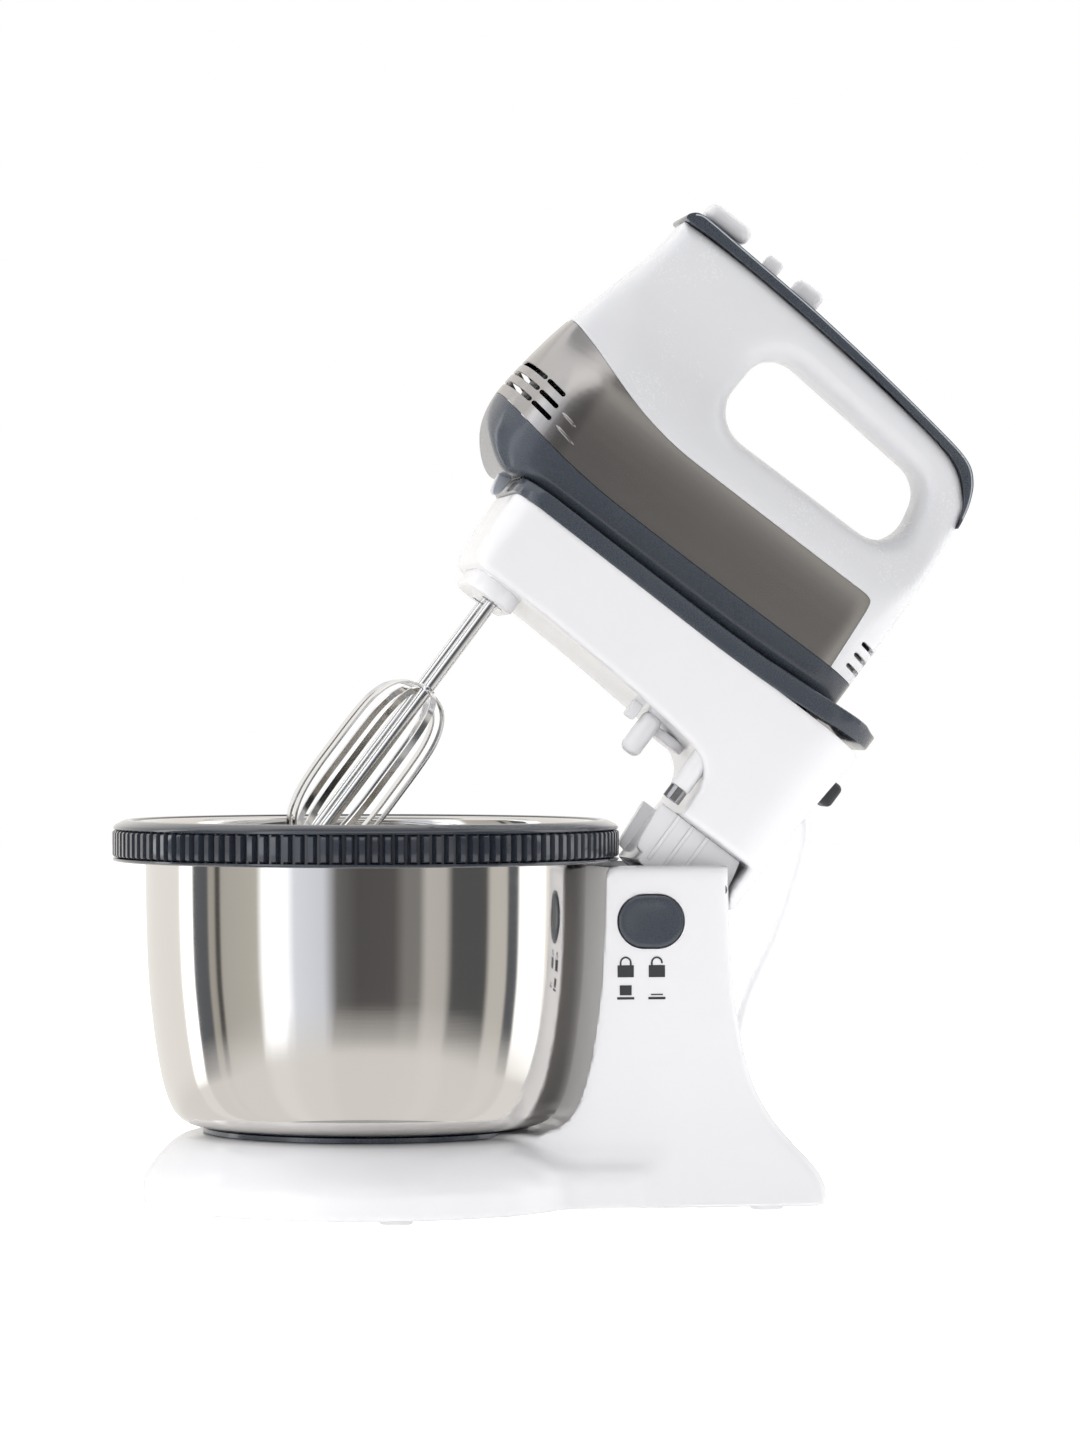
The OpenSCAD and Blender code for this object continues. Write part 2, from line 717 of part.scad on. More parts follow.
module aux_spindle() color(dark) head_pose() difference() {
    union() {
        disc(aux_x, aux_y, 7, 240.8, 249);
        disc(aux_x, aux_y, 4, 249, wheel_z);
        wheel(aux_x, aux_y, 90 + 180 / worm_teeth);
    }
    translate([aux_x, aux_y, 240]) rotate(45) cylinder(h = 6, r = 4.8, $fn = 4);
}

module circuit_board() color([0.15, 0.35, 0.2]) head_pose() {
    box(30, 100, -9, 9, 364, 365.6);
    box(34, 44, -6, 6, 365.6, 369.4);
}

module body_screw_set() for (p = [[-30, 330], [140, 330], [-8, 305]]) across(p[0], p[1], 1.4, -8, 0);

module body_screws() color(steel) head_pose() body_screw_set();

// one beater: four strips bent round a cage, on a shaft
module beater(s, turn) {
    low = 50;
    top = 138.4;
    cage = [[3.6, 0], [9, 1.2], [14, 5], [18, 12], [20.2, 22], [cage_r, 36], [cage_r, 62], [19.8, 72],
        [17, 80.5], [12, 86], [6, 88.2], [2, 88.4]];
    inner = [for (p = reversed(cage)) [max(p[0] - 1.1, 1.5), 1.1 + p[1] * 0.975]];
    translate([beater_x, s * beater_y, low]) {
        for (i = [0:3]) rotate(turn + 90 * i) rotate([90, 0, 0])
            linear_extrude(3.2, center = true) polygon(concat(cage, inner));
        cylinder(h = 1.8, r = 4);
        translate([0, 0, 1]) cylinder(h = top - low + 92.5, r = shaft_r);
    }
}

module beater_left() color(steel) head_pose() beater(1, 25);
module beater_right() color(steel) head_pose() beater(-1, 20);

// ---------- mains cord ----------

module strain_relief() color(white) {
    head_pose() {
        across(relief[0], relief[1], relief_r, 33, 38);
        translate([relief[0], 38, relief[1]]) rotate([-90, 0, 0])
            cylinder(h = cord_route[0][1] - 38, r1 = relief_r, r2 = cord_d / 2 + 0.4);
    }
}

function route_step(i) = cord_route[min(i + 1, len(cord_route) - 1)] - cord_route[max(i - 1, 0)];
function unit(v) = v / norm(v);

// tube swept along the route, one ring of points at each place on a smooth curve through it
module cord_tube() color(white) {
    sides = 8;
    n = len(cord_route) - 1;
    spots = [for (i = [0:n - 1], k = [0:2]) let (t = k / 3, a = cord_route[i], b = cord_route[i + 1],
        u = route_step(i) / 2, v = route_step(i + 1) / 2)
        [(2 * t ^ 3 - 3 * t ^ 2 + 1) * a + (t ^ 3 - 2 * t ^ 2 + t) * u + (3 * t ^ 2 - 2 * t ^ 3) * b
            + (t ^ 3 - t ^ 2) * v,
         (6 * t ^ 2 - 6 * t) * (a - b) + (3 * t ^ 2 - 4 * t + 1) * u + (3 * t ^ 2 - 2 * t) * v]];
    all_spots = concat(spots, [[cord_route[n], route_step(n)]]);
    rings = len(all_spots);
    pts = [for (q = all_spots) let (w = unit(q[1]), e = unit(cross(w, [1, 0.02, 0])), f = cross(w, e))
        each [for (k = [0:sides - 1]) q[0] + cord_d / 2 * (cos(360 * k / sides) * e
            + sin(360 * k / sides) * f)]];
    walls = [for (i = [0:rings - 2], k = [0:sides - 1]) let (m = (k + 1) % sides)
        [i * sides + k, i * sides + m, (i + 1) * sides + m, (i + 1) * sides + k]];
    ends = [[for (k = [sides - 1:-1:0]) k], [for (k = [0:sides - 1]) (rings - 1) * sides + k]];
    polyhedron(pts, concat(walls, ends));
}

// the rest of the cord, wound two wide and three high
module cord_coil() color(white) translate([coil_at[0], coil_at[1], 0]) rotate_extrude()
    translate([coil_r - cord_d, 0]) square([coil_out - coil_r + cord_d, coil_layers * cord_d]);

module plug() color(white) {
    y = coil_at[1] + coil_r + 1.5 * cord_d;
    lengthwise_at(y, cord_d / 2, cord_d / 2, 118, coil_at[0]);
    box(91, 119, y - 13, y + 13, 0.2, 13.9);
    for (s = [-1, 1]) lengthwise_at(y + s * 9.5, 7, 2, 73, 91);
}

stand_shell();
base_plate();
base_feet();
base_screws();
turntable_spindle();
turntable();
bowl();
bowl_ring();
hinge_pin();
release_button();
latch_bar();
release_spring();
spring_bracket();
carrier_shell();
carrier_trim();
beater_collar();
hinge_tongue();
guide_finger();
drive_housing();
drive_shaft();
input_gear();
gear_plate();
mixer_release_button();
mixer_release_spring();
spring_rib();
carrier_screws();
body_left();
body_right();
steel_band();
lower_body();
handle_trim();
eject_button();
eject_spring();
speed_slider();
turbo_button();
turbo_spring();
motor_worms();
motor_rotor();
motor_fan();
motor_stator();
motor_coils();
brush_holders();
gearbox_frame();
rear_bracket();
spindle_left();
spindle_right();
aux_spindle();
circuit_board();
body_screws();
beater_left();
beater_right();
strain_relief();
cord_tube();
cord_coil();
plug();
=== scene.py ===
"""Hand mixer docked on a tilting head, over a turning steel bowl on its own stand.

Lengths below are millimetres in the row frame: origin on the table under the bowl's axis, +X towards
the tower, +Y to the far side, +Z up. The head's pieces are drawn closed and level, as in the part's
source, and `opened` tilts them about the hinge pin. `raw` turns millimetres into metres.
"""

import bpy
import bmesh
import json
import math
import numpy as np
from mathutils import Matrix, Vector


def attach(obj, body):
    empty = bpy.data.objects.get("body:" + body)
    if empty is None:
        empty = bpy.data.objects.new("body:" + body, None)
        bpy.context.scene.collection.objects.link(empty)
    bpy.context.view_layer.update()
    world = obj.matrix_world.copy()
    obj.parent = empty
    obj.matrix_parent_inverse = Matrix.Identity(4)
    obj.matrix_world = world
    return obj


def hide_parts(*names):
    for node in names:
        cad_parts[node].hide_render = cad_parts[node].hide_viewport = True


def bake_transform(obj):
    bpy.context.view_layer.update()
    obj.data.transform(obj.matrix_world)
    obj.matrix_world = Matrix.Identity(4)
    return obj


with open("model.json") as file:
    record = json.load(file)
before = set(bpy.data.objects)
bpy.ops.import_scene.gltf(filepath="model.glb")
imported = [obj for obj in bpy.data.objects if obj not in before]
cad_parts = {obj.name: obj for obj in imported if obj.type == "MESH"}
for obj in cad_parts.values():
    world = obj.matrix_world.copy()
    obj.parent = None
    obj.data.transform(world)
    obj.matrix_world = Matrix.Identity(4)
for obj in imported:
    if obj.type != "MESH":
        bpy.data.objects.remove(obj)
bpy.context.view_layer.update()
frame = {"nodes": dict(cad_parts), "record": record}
NODES = frame["nodes"]
MM = 0.001
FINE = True

# ---------------------------------------------------------------- driving sizes

TILT = math.radians(37)
HINGE = (156.0, 144.7)
# the closed head's x and z directions once it is open
X_AXIS = (math.cos(TILT), 0, -math.sin(TILT))
Z_AXIS = (math.sin(TILT), 0, math.cos(TILT))
CORD_D = 5.0
# x and z of the bend relief on the closed head, and x and y of the coil on the table
RELIEF = (140.0, 250.0)
COIL_AT = (150.0, 112.0)
COIL_R = 29.0
BEATER_X = -2.0
BEATER_Y = 16.5
BEATERS = ((BEATER_X, -BEATER_Y), (BEATER_X, BEATER_Y))
# the third worm wheel's spindle and the shaft that drives the bowl
AUX = (112, -BEATER_Y)
DRIVE = (114.4, -36.4)
RING_LO = 157.3
RING_HI = 176.0
BOWL_Z = 37.0

# ---------------------------------------------------------------- camera

VIEW_TURN = math.radians(8)
VIEW_FAR = 2.464
EYE_H = 0.232
AIM_H = 0.2211
EYE_RIGHT = 0.0791
aim = Vector((math.sin(VIEW_TURN), math.cos(VIEW_TURN), 0))
side = Vector((aim.y, -aim.x, 0))


def add(name, data):
    """An object with that data, linked to the scene."""
    o = bpy.data.objects.new(name, data)
    bpy.context.scene.collection.objects.link(o)
    return o


camera = add("camera", bpy.data.cameras.new("camera"))
bpy.context.scene.camera = camera
camera.location = -VIEW_FAR * aim + EYE_RIGHT * side + Vector((0, 0, EYE_H))
line_of_sight = aim * VIEW_FAR + Vector((0, 0, AIM_H - EYE_H))
camera.rotation_euler = line_of_sight.to_track_quat("-Z", "Y").to_euler()
camera.data.lens = 135.5
camera.data.sensor_width = 36

# ---------------------------------------------------------------- mesh helpers


def opened(p):
    """Tilts points about the hinge pin from the closed head to the open one."""
    p = np.asarray(p, float)
    dx, dz = p[..., 0] - HINGE[0], p[..., 2] - HINGE[1]
    c, s = math.cos(TILT), math.sin(TILT)
    return np.stack([HINGE[0] + dx * c + dz * s, p[..., 1], HINGE[1] - dx * s + dz * c], -1)


def soften(o, angle=32):
    """Smooth shading, with a crease wherever two faces meet at more than angle."""
    m = bmesh.new()
    m.from_mesh(o.data)
    limit = math.radians(angle)
    for f in m.faces:
        f.smooth = True
    for e in m.edges:
        e.smooth = len(e.link_faces) != 2 or e.calc_face_angle(0) < limit
    m.to_mesh(o.data)
    m.free()


def bake(o):
    """Applies the modifiers."""
    mesh = bpy.data.meshes.new_from_object(o.evaluated_get(bpy.context.evaluated_depsgraph_get()))
    o.modifiers.clear()
    o.data = mesh
    return o


def raw(name, verts, faces, head=False):
    """A mesh object from points in millimetres."""
    verts = opened(verts) if head else np.asarray(verts, float)
    mesh = bpy.data.meshes.new(name)
    mesh.from_pydata((verts * MM).tolist(), [], [list(map(int, f)) for f in faces])
    mesh.validate()
    o = add(name, mesh)
    m = bmesh.new()
    m.from_mesh(mesh)
    bmesh.ops.remove_doubles(m, verts=m.verts, dist=2e-6)
    bmesh.ops.recalc_face_normals(m, faces=m.faces)
    m.to_mesh(mesh)
    m.free()
    return o


def bevel(o, width, segments=4, angle=40):
    """Rounds the edges where two faces meet at more than angle."""
    b = o.modifiers.new("bevel", "BEVEL")
    b.width = width * MM
    b.segments = segments
    b.limit_method = "ANGLE"
    b.angle_limit = math.radians(angle)
    b.harden_normals = False
    return bake(o)


def cut(o, cutters):
    """Takes each cutter away from o, and removes the cutter."""
    for c in cutters:
        b = o.modifiers.new("cut", "BOOLEAN")
        b.operation = "DIFFERENCE"
        b.solver = "EXACT"
        b.object = c
        bpy.context.view_layer.update()
        bake(o)
        bpy.data.objects.remove(c)
    return o


def join(name, parts):
    """One object from several."""
    m = bmesh.new()
    for o in parts:
        m.from_mesh(o.data)
        bpy.data.objects.remove(o)
    mesh = bpy.data.meshes.new(name)
    m.to_mesh(mesh)
    m.free()
    return add(name, mesh)


def finish_piece(o, name, body, material, nodes=(), angle=32):
    """Names a piece, gives it its material, and makes it ride on its body in place of its nodes."""
    o.name = name
    o.data.name = name
    soften(o, angle)
    o.data.materials.clear()
    o.data.materials.append(MATERIALS[material])
    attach(o, body)
    if nodes:
        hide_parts(*nodes)
    return o


def spline(points, steps=8, closed=False):
    """A smooth line through the points. A point given twice in a row is a corner."""
    pts = [np.array(p, float) for p in points]
    n = len(pts)
    out = []
    for i in range(n if closed else n - 1):
        a, b = pts[i], pts[(i + 1) % n]
        if np.allclose(a, b):
            continue
        before = pts[(i - 1) % n] if closed or i > 0 else a
        after = pts[(i + 2) % n] if closed or i + 2 < n else b
        span = np.linalg.norm(b - a)
        u = (b - before) * min(1, span / max(np.linalg.norm(b - before), 1e-9))
        v = (after - a) * min(1, span / max(np.linalg.norm(after - a), 1e-9))
        u = b - a if np.allclose(before, a) else u
        v = b - a if np.allclose(after, b) else v
        for k in range(steps):
            t = k / steps
            out.append((2 * t**3 - 3 * t**2 + 1) * a + (t**3 - 2 * t**2 + t) * u
                       + (3 * t**2 - 2 * t**3) * b + (t**3 - t**2) * v)
    if not closed:
        out.append(pts[-1])
    return np.array(out)


def rounded(x0, x1, half, r0, r1, n=10):
    """Outline seen from above: a rectangle with front corners r0 and rear corners r1."""
    out = []
    for cx, cy, r, a in ((x1 - r1, half - r1, r1, 0), (x0 + r0, half - r0, r0, 90),
                         (x0 + r0, r0 - half, r0, 180), (x1 - r1, r1 - half, r1, 270)):
        for k in range(n + 1):
            t = math.radians(a + 90 * k / n)
            out.append((cx + r * math.cos(t), cy + r * math.sin(t)))
    return np.array(out)


def prism(name, outline, lo, hi, axis="y", head=False):
    """An outline drawn along an axis: (x, z) outlines along y, (x, y) along z, (y, z) along x."""
    n = len(outline)
    order = {"y": (0, 2, 1), "z": (0, 1, 2), "x": (1, 2, 0)}[axis]
    verts = np.zeros((2 * n, 3))
    verts[:, order[0]] = np.tile(outline[:, 0], 2)
    verts[:, order[1]] = np.tile(outline[:, 1], 2)
    verts[:, order[2]] = np.repeat((lo, hi), n)
    faces = [list(range(n)), list(range(2 * n - 1, n - 1, -1))]
    faces += [[i, (i + 1) % n, n + (i + 1) % n, n + i] for i in range(n)]
    return raw(name, verts, faces, head)


def oblong(x0, x1, z0, z1):
    """A square-cornered outline."""
    return np.array([(x0, z0), (x1, z0), (x1, z1), (x0, z1)], float)


def block(name, x, y, z, head=False):
    """A box from its three ranges."""
    return prism(name, oblong(*x, *z), y[0], y[1], "y", head)


def circle(n):
    """The cosines and sines of n even steps round a circle."""
    t = np.arange(n) * 2 * math.pi / n
    return np.cos(t), np.sin(t)


def rod(name, at, r, lo, hi, axis="z", n=48, head=False):
    """A round bar along an axis."""
    c, s = circle(n)
    return prism(name, np.stack([at[0] + r * c, at[1] + r * s], 1), lo, hi, axis, head)


def grid_mesh(rings, caps=False, loop=False):
    """Verts and faces of rings of points, each joined to the next, and the last to the first in a loop."""
    rings = np.asarray(rings, float)
    rows, cols = rings.shape[:2]
    faces = []
    for i in range(rows if loop else rows - 1):
        for k in range(cols):
            j, m = (i + 1) % rows, (k + 1) % cols
            faces.append([i * cols + k, i * cols + m, j * cols + m, j * cols + k])
    if caps:
        faces += [list(range(cols)), list(range(rows * cols - 1, (rows - 1) * cols - 1, -1))]
    return rings.reshape(-1, 3), faces


def lathe(name, profile, n=160, at=(0, 0), head=False, axis="z"):
    """A closed (radius, place on the axis) outline turned about an axis along z or y."""
    c, s = circle(n)
    p = np.asarray(profile, float)
    rings = np.stack([at[0] + p[:, None, 0] * c, at[1] + p[:, None, 0] * s, np.repeat(p[:, 1:2], n, 1)], -1)
    if axis == "y":
        rings = rings[..., [0, 2, 1]]
    return raw(name, *grid_mesh(rings, loop=True), head=head)


def tube(name, path, radii, sides=16, head=False):
    """A round tube along a line, with a radius at each of its points."""
    path = np.asarray(path, float)
    tangent = np.gradient(path, axis=0)
    tangent /= np.linalg.norm(tangent, axis=1)[:, None]
    across = np.cross(tangent[0], [0.3, 0.1, 1.0])
    c, s = circle(sides)
    rings = []
    for p, w, r in zip(path, tangent, radii):
        across = across - w * np.dot(across, w)
        across /= np.linalg.norm(across)
        other = np.cross(w, across)
        rings.append(p + r * (c[:, None] * across + s[:, None] * other))
    return raw(name, *grid_mesh(rings, caps=True), head=head)


# ---------------------------------------------------------------- smooth solids as distance fields


def smin(a, b, k):
    """The smaller of two fields, blended over a width k."""
    h = np.clip(0.5 + 0.5 * (b - a) / k, 0, 1)
    return b * (1 - h) + a * h - k * h * (1 - h)


def smax(a, b, k):
    """The larger of two fields, blended over a width k."""
    return -smin(-a, -b, k)


def outline_distance(outline, u, v):
    """Signed distance of points (u, v) from a closed outline, below 0 inside."""
    a = np.asarray(outline, float)
    b = np.roll(a, -1, 0)
    best = np.full(u.shape, 1e9)
    inside = np.zeros(u.shape, bool)
    for (ax, ay), (bx, by) in zip(a, b):
        dx, dy = bx - ax, by - ay
        length2 = dx * dx + dy * dy
        if length2 < 1e-12:
            continue
        t = np.clip(((u - ax) * dx + (v - ay) * dy) / length2, 0, 1)
        best = np.minimum(best, (u - ax - t * dx) ** 2 + (v - ay - t * dy) ** 2)
        if ay != by:
            inside ^= ((ay > v) != (by > v)) & (u < dx * (v - ay) / dy + ax)
    best = np.sqrt(best)
    return np.where(inside, -best, best)


def axes_of(x, y, z, h):
    """The three lines of a grid, each h apart."""
    return [np.arange(lo, hi + h, h) for lo, hi in (x, y, z)]


def surface(f, axes):
    """The surface where the field f is 0, one point to each cell that it crosses."""
    shape = tuple(n - 1 for n in f.shape)
    total = np.zeros(shape + (3,))
    count = np.zeros(shape)
    crossings = []
    for axis in range(3):
        a = [slice(None)] * 3
        b = [slice(None)] * 3
        a[axis], b[axis] = slice(None, -1), slice(1, None)
        f0, f1 = f[tuple(a)], f[tuple(b)]
        idx = np.argwhere((f0 < 0) != (f1 < 0))
        v0, v1 = f0[tuple(idx.T)], f1[tuple(idx.T)]
        place = np.stack([axes[k][idx[:, k]] for k in range(3)], 1)
        place[:, axis] += v0 / (v0 - v1) * (axes[axis][1] - axes[axis][0])
        p, q = [k for k in range(3) if k != axis]
        inner = ((idx[:, p] > 0) & (idx[:, q] > 0) & (idx[:, p] < shape[p]) & (idx[:, q] < shape[q]))
        idx, place, v0 = idx[inner], place[inner], v0[inner]
        corners = []
        for dp, dq in ((-1, -1), (0, -1), (0, 0), (-1, 0)):
            cell = idx.copy()
            cell[:, p] += dp
            cell[:, q] += dq
            np.add.at(total, tuple(cell.T), place)
            np.add.at(count, tuple(cell.T), 1)
            corners.append(np.ravel_multi_index(tuple(cell.T), shape))
        quads = np.stack(corners, 1)
        flip = (v0 < 0) == (axis != 1)
        quads[flip] = quads[flip][:, ::-1]
        crossings.append(quads)
    quads = np.concatenate(crossings)
    used, back = np.unique(quads, return_inverse=True)
    verts = (total / np.maximum(count, 1)[..., None]).reshape(-1, 3)[used]
    return verts, back.reshape(quads.shape)


def triangles(faces):
    """Each four-sided face as two triangles."""
    faces = np.asarray(faces)
    if faces.shape[1] == 3:
        return faces
    return np.concatenate([faces[:, [0, 1, 2]], faces[:, [0, 2, 3]]])


def clip(mesh, keep):
    """The part of a mesh where keep(x, y, z) is above 0, cut cleanly along its line."""
    verts, faces = mesh[0], triangles(mesh[1])
    s = keep(verts[:, 0], verts[:, 1], verts[:, 2])
    s = np.where(np.abs(s) < 1e-5, 1e-5, s)
    plus = s > 0
    kept = plus[faces].sum(1)
    out = [faces[kept == 3]]
    edges, new = {}, []

    def crossing(a, b):
        key = (a, b) if a < b else (b, a)
        if key not in edges:
            t = s[a] / (s[a] - s[b])
            edges[key] = len(verts) + len(new)
            new.append(verts[a] + t * (verts[b] - verts[a]))
        return edges[key]

    extra = []
    for tri in faces[(kept == 1) | (kept == 2)]:
        tri = [int(i) for i in tri]
        lone = [k for k in range(3) if plus[tri[k]] == (plus[tri].sum() == 1)][0]
        a, b, c = tri[lone], tri[(lone + 1) % 3], tri[(lone + 2) % 3]
        p, q = crossing(a, b), crossing(a, c)
        if plus[a]:
            extra.append([a, p, q])
        else:
            extra += [[p, b, c], [p, c, q]]
    if extra:
        out.append(np.array(extra))
    verts = np.concatenate([verts, np.array(new).reshape(-1, 3)])
    faces = np.concatenate(out)
    used, back = np.unique(faces, return_inverse=True)
    return verts[used], back.reshape(-1, 3)


def shell(name, mesh, thickness, head=False):
    """A wall of that thickness under an open surface."""
    o = raw(name, mesh[0], mesh[1], head)
    s = o.modifiers.new("wall", "SOLIDIFY")
    s.thickness = thickness * MM
    s.offset = -1
    s.use_even_offset = False
    return bake(o)


# ---------------------------------------------------------------- materials


def set_inputs(node, values):
    """Gives a node's sockets their values."""
    for socket, value in values.items():
        node.inputs[socket].default_value = value
    return node


def material(name, color, rough, metallic=0.0, grain=(900, 900, 900), turn=0.0, bump=0.05,
             spread=0.06, tint=0.03, coat=0.0, blotch=28.0):
    """A finish with fine grain in its bump and roughness and a faint drift in its colour."""
    m = bpy.data.materials.new(name)
    m.use_nodes = True
    new = m.node_tree.nodes.new
    shader = set_inputs(m.node_tree.nodes["Principled BSDF"],
                        {"Metallic": metallic, "Coat Weight": coat, "Coat Roughness": 0.04})
    place = new("ShaderNodeTexCoord")
    scale = set_inputs(new("ShaderNodeMapping"), {"Rotation": (0, turn, 0), "Scale": grain})
    fine = set_inputs(new("ShaderNodeTexNoise"), {"Scale": 1, "Detail": 3})
    wide = set_inputs(new("ShaderNodeTexNoise"), {"Scale": blotch, "Detail": 4})
    both = new("ShaderNodeMath")
    both.operation = "MULTIPLY"
    sheen = set_inputs(new("ShaderNodeMapRange"),
                       {"From Min": 0.1, "From Max": 0.45, "To Min": max(rough - spread, 0.02),
                        "To Max": rough + spread})
    mix = new("ShaderNodeMix")
    mix.data_type = "RGBA"
    mix.inputs["A"].default_value = [c * (1 - tint) for c in color] + [1]
    mix.inputs["B"].default_value = [min(c * (1 + tint), 1) for c in color] + [1]
    rise = set_inputs(new("ShaderNodeBump"), {"Strength": bump, "Distance": 0.0002})
    for a, out, b, into in ((place, "Object", scale, "Vector"), (scale, "Vector", fine, "Vector"),
                            (place, "Object", wide, "Vector"), (fine, "Fac", both, 0),
                            (wide, "Fac", both, 1), (both, 0, sheen, "Value"),
                            (sheen, "Result", shader, "Roughness"), (wide, "Fac", mix, "Factor"),
                            (mix, "Result", shader, "Base Color"), (fine, "Fac", rise, "Height"),
                            (rise, "Normal", shader, "Normal")):
        m.node_tree.links.new(a.outputs[out], b.inputs[into])
    return m


FINISHES = {
    "white_plastic": dict(color=(0.66, 0.655, 0.67), rough=0.2, bump=0.03, tint=0.012, coat=0.3),
    "white_body": dict(color=(0.6, 0.6, 0.615), rough=0.24, bump=0.03, tint=0.012, coat=0.2),
    "slate_plastic": dict(color=(0.04, 0.048, 0.062), rough=0.28, bump=0.08, coat=0.5,
                          grain=(1500, 1500, 1500)),
    # a paler slate with a full clear coat: the front tab's finish, and a painted highlight on the beads along
    # the handle trim's top edges
    "pale_slate_and_highlight": dict(color=(0.34, 0.36, 0.4), rough=0.16, bump=0.03, coat=1.0),
    "slate_ring": dict(color=(0.022, 0.026, 0.035), rough=0.2, bump=0.05, coat=0.8),
    "brushed_band": dict(color=(0.52, 0.5, 0.49), rough=0.24, metallic=1.0, grain=(30, 2600, 2600),
                         turn=TILT, bump=0.04, spread=0.03, tint=0.02, blotch=14),
    "polished_steel": dict(color=(0.76, 0.74, 0.71), rough=0.08, metallic=1.0, grain=(40, 40, 1800),
                           bump=0.012, spread=0.02, tint=0.02, blotch=16),
    "steel_parts": dict(color=(0.52, 0.52, 0.53), rough=0.34, metallic=1.0, grain=(500, 500, 1500),
                        bump=0.2),
    "dark_plastic": dict(color=(0.03, 0.032, 0.036), rough=0.45, bump=0.25, tint=0.08),
    "rubber_feet": dict(color=(0.62, 0.62, 0.63), rough=0.7, bump=0.4, tint=0.15),
    "copper_wire": dict(color=(0.62, 0.3, 0.14), rough=0.3, metallic=1.0, grain=(2600, 300, 300),
                        turn=TILT, bump=0.7),
    "beater_chrome": dict(color=(0.86, 0.86, 0.86), rough=0.16, metallic=1.0, grain=(400, 400, 400),
                          bump=0.01, spread=0.03, tint=0.02),
    "white_cord": dict(color=(0.8, 0.8, 0.81), rough=0.42, bump=0.12, tint=0.02),
}
MATERIALS = {name: material(name, **look) for name, look in FINISHES.items()}
for row in frame["record"]["subparts"]:
    data = NODES[row["node"]].data
    data.materials.clear()
    data.materials.append(MATERIALS[row["material_slot"]])

# ---------------------------------------------------------------- mains cord

CORD_ROUTE = [[206.6, 60, 238.4], [206.6, 65, 238.4], [207, 73, 235.4], [208, 80, 227.6],
              [209.8, 82.5, 217.5], [212.8, 82, 202], [216, 81, 184], [217.4, 80, 166.5], [215, 80, 152.3],
              [211.6, 80, 140.9], [207.8, 79.5, 128.6], [203.2, 79, 117.3], [197.9, 78, 106],
              [192.6, 77, 95.5], [187.6, 76.5, 82], [184, 77, 65], [182.2, 79.5, 48], [181.6, 84, 33],
              [181.5, 91.5, 21.5], [181.5, 101, 15], [181.5, 108, 13]]
PLUG_X = 119.0
PLUG_END = 91.0
LAY = CORD_D + 0.1


def coil_turns():
    """The rest of the cord, from the top of the coil down to the table, where it leaves towards -X."""
    outer, inner = COIL_R + LAY / 2, COIL_R - LAY / 2
    turns = [(outer, 2), (outer, 1), (inner, 1), (inner, 0), (outer, 0), (outer + LAY, 0)]
    per_turn = 32
    out = []
    for k in range(per_turn * (len(turns) - 1) + per_turn // 4 + 1):
        turn, t = divmod(k / per_turn, 1)
        r, layer = turns[int(turn)]
        r1, layer1 = turns[min(int(turn) + 1, len(turns) - 1)]
        ease = max(0.0, (t - 0.7) / 0.3)
        ease *= ease * (3 - 2 * ease)
        a = 2 * math.pi * t
        radius = r + (r1 - r) * ease
        out.append([COIL_AT[0] + radius * math.cos(a), COIL_AT[1] + radius * math.sin(a),
                    (layer + (layer1 - layer) * ease) * LAY + LAY / 2])
    return out


COIL = coil_turns()
PLUG_Y, PLUG_Z = COIL[-1][1], 7.05
PLUG_HALF = 12.4
PIN_GAP = 9.5
PLUG_TIP = [PLUG_X + 8, PLUG_Y, PLUG_Z]
LINE = np.concatenate([spline(CORD_ROUTE + [COIL[0]], 3)[:-1], np.array(COIL[:-1]),
                       spline([COIL[-1], [COIL[-1][0] - 10, PLUG_Y, LAY / 2 + 1.2], PLUG_TIP], 3)])
cord = tube("mains_cord", LINE, [CORD_D / 2] * len(LINE), 14)
cord.data.materials.append(MATERIALS["white_cord"])
soften(cord, 60)
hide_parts("cord_tube", "cord_coil")
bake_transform(cord)


def plug_shape():
    """A flat two-pin plug lying on the table, with a ribbed strain relief."""
    half = [(PLUG_END, -PLUG_HALF), (PLUG_END, -PLUG_HALF), (PLUG_END + 10, -PLUG_HALF), (PLUG_X - 4, -7.6),
            (PLUG_X, -4.4), (PLUG_X, -4.4)]
    outline = spline([(x, PLUG_Y + y) for x, y in half] + [(x, PLUG_Y - y) for x, y in half[::-1]],
                     5, closed=True)
    body = bevel(prism("plug", outline, 0.4, 13.7, "z"), 2.6, 5)
    ribs = []
    for k in range(5):
        at = PLUG_X - 1 + 1.9 * k
        ribs.append(rod("rib", (PLUG_Y, PLUG_Z), 4.2 - 0.22 * k, at, at + 1.1, "x", 24))
    neck = rod("neck", (PLUG_Y, PLUG_Z), 3.0, PLUG_X - 1, PLUG_X + 8.6, "x", 24)
    return join("plug", [body, neck] + ribs)


plug = finish_piece(plug_shape(), "mains_plug", "base", "white_cord", ["plug"])
pins = []
for end in (-1, 1):
    pin = rod("pin", (PLUG_Y + end * PIN_GAP, PLUG_Z), 2.0, 73.2, PLUG_END + 0.5, "x", 24)
    pins.append(bevel(pin, 0.9, 3))
pins = finish_piece(join("pins", pins), "plug_pins", "base", "steel_parts")

# ---------------------------------------------------------------- hand mixer body

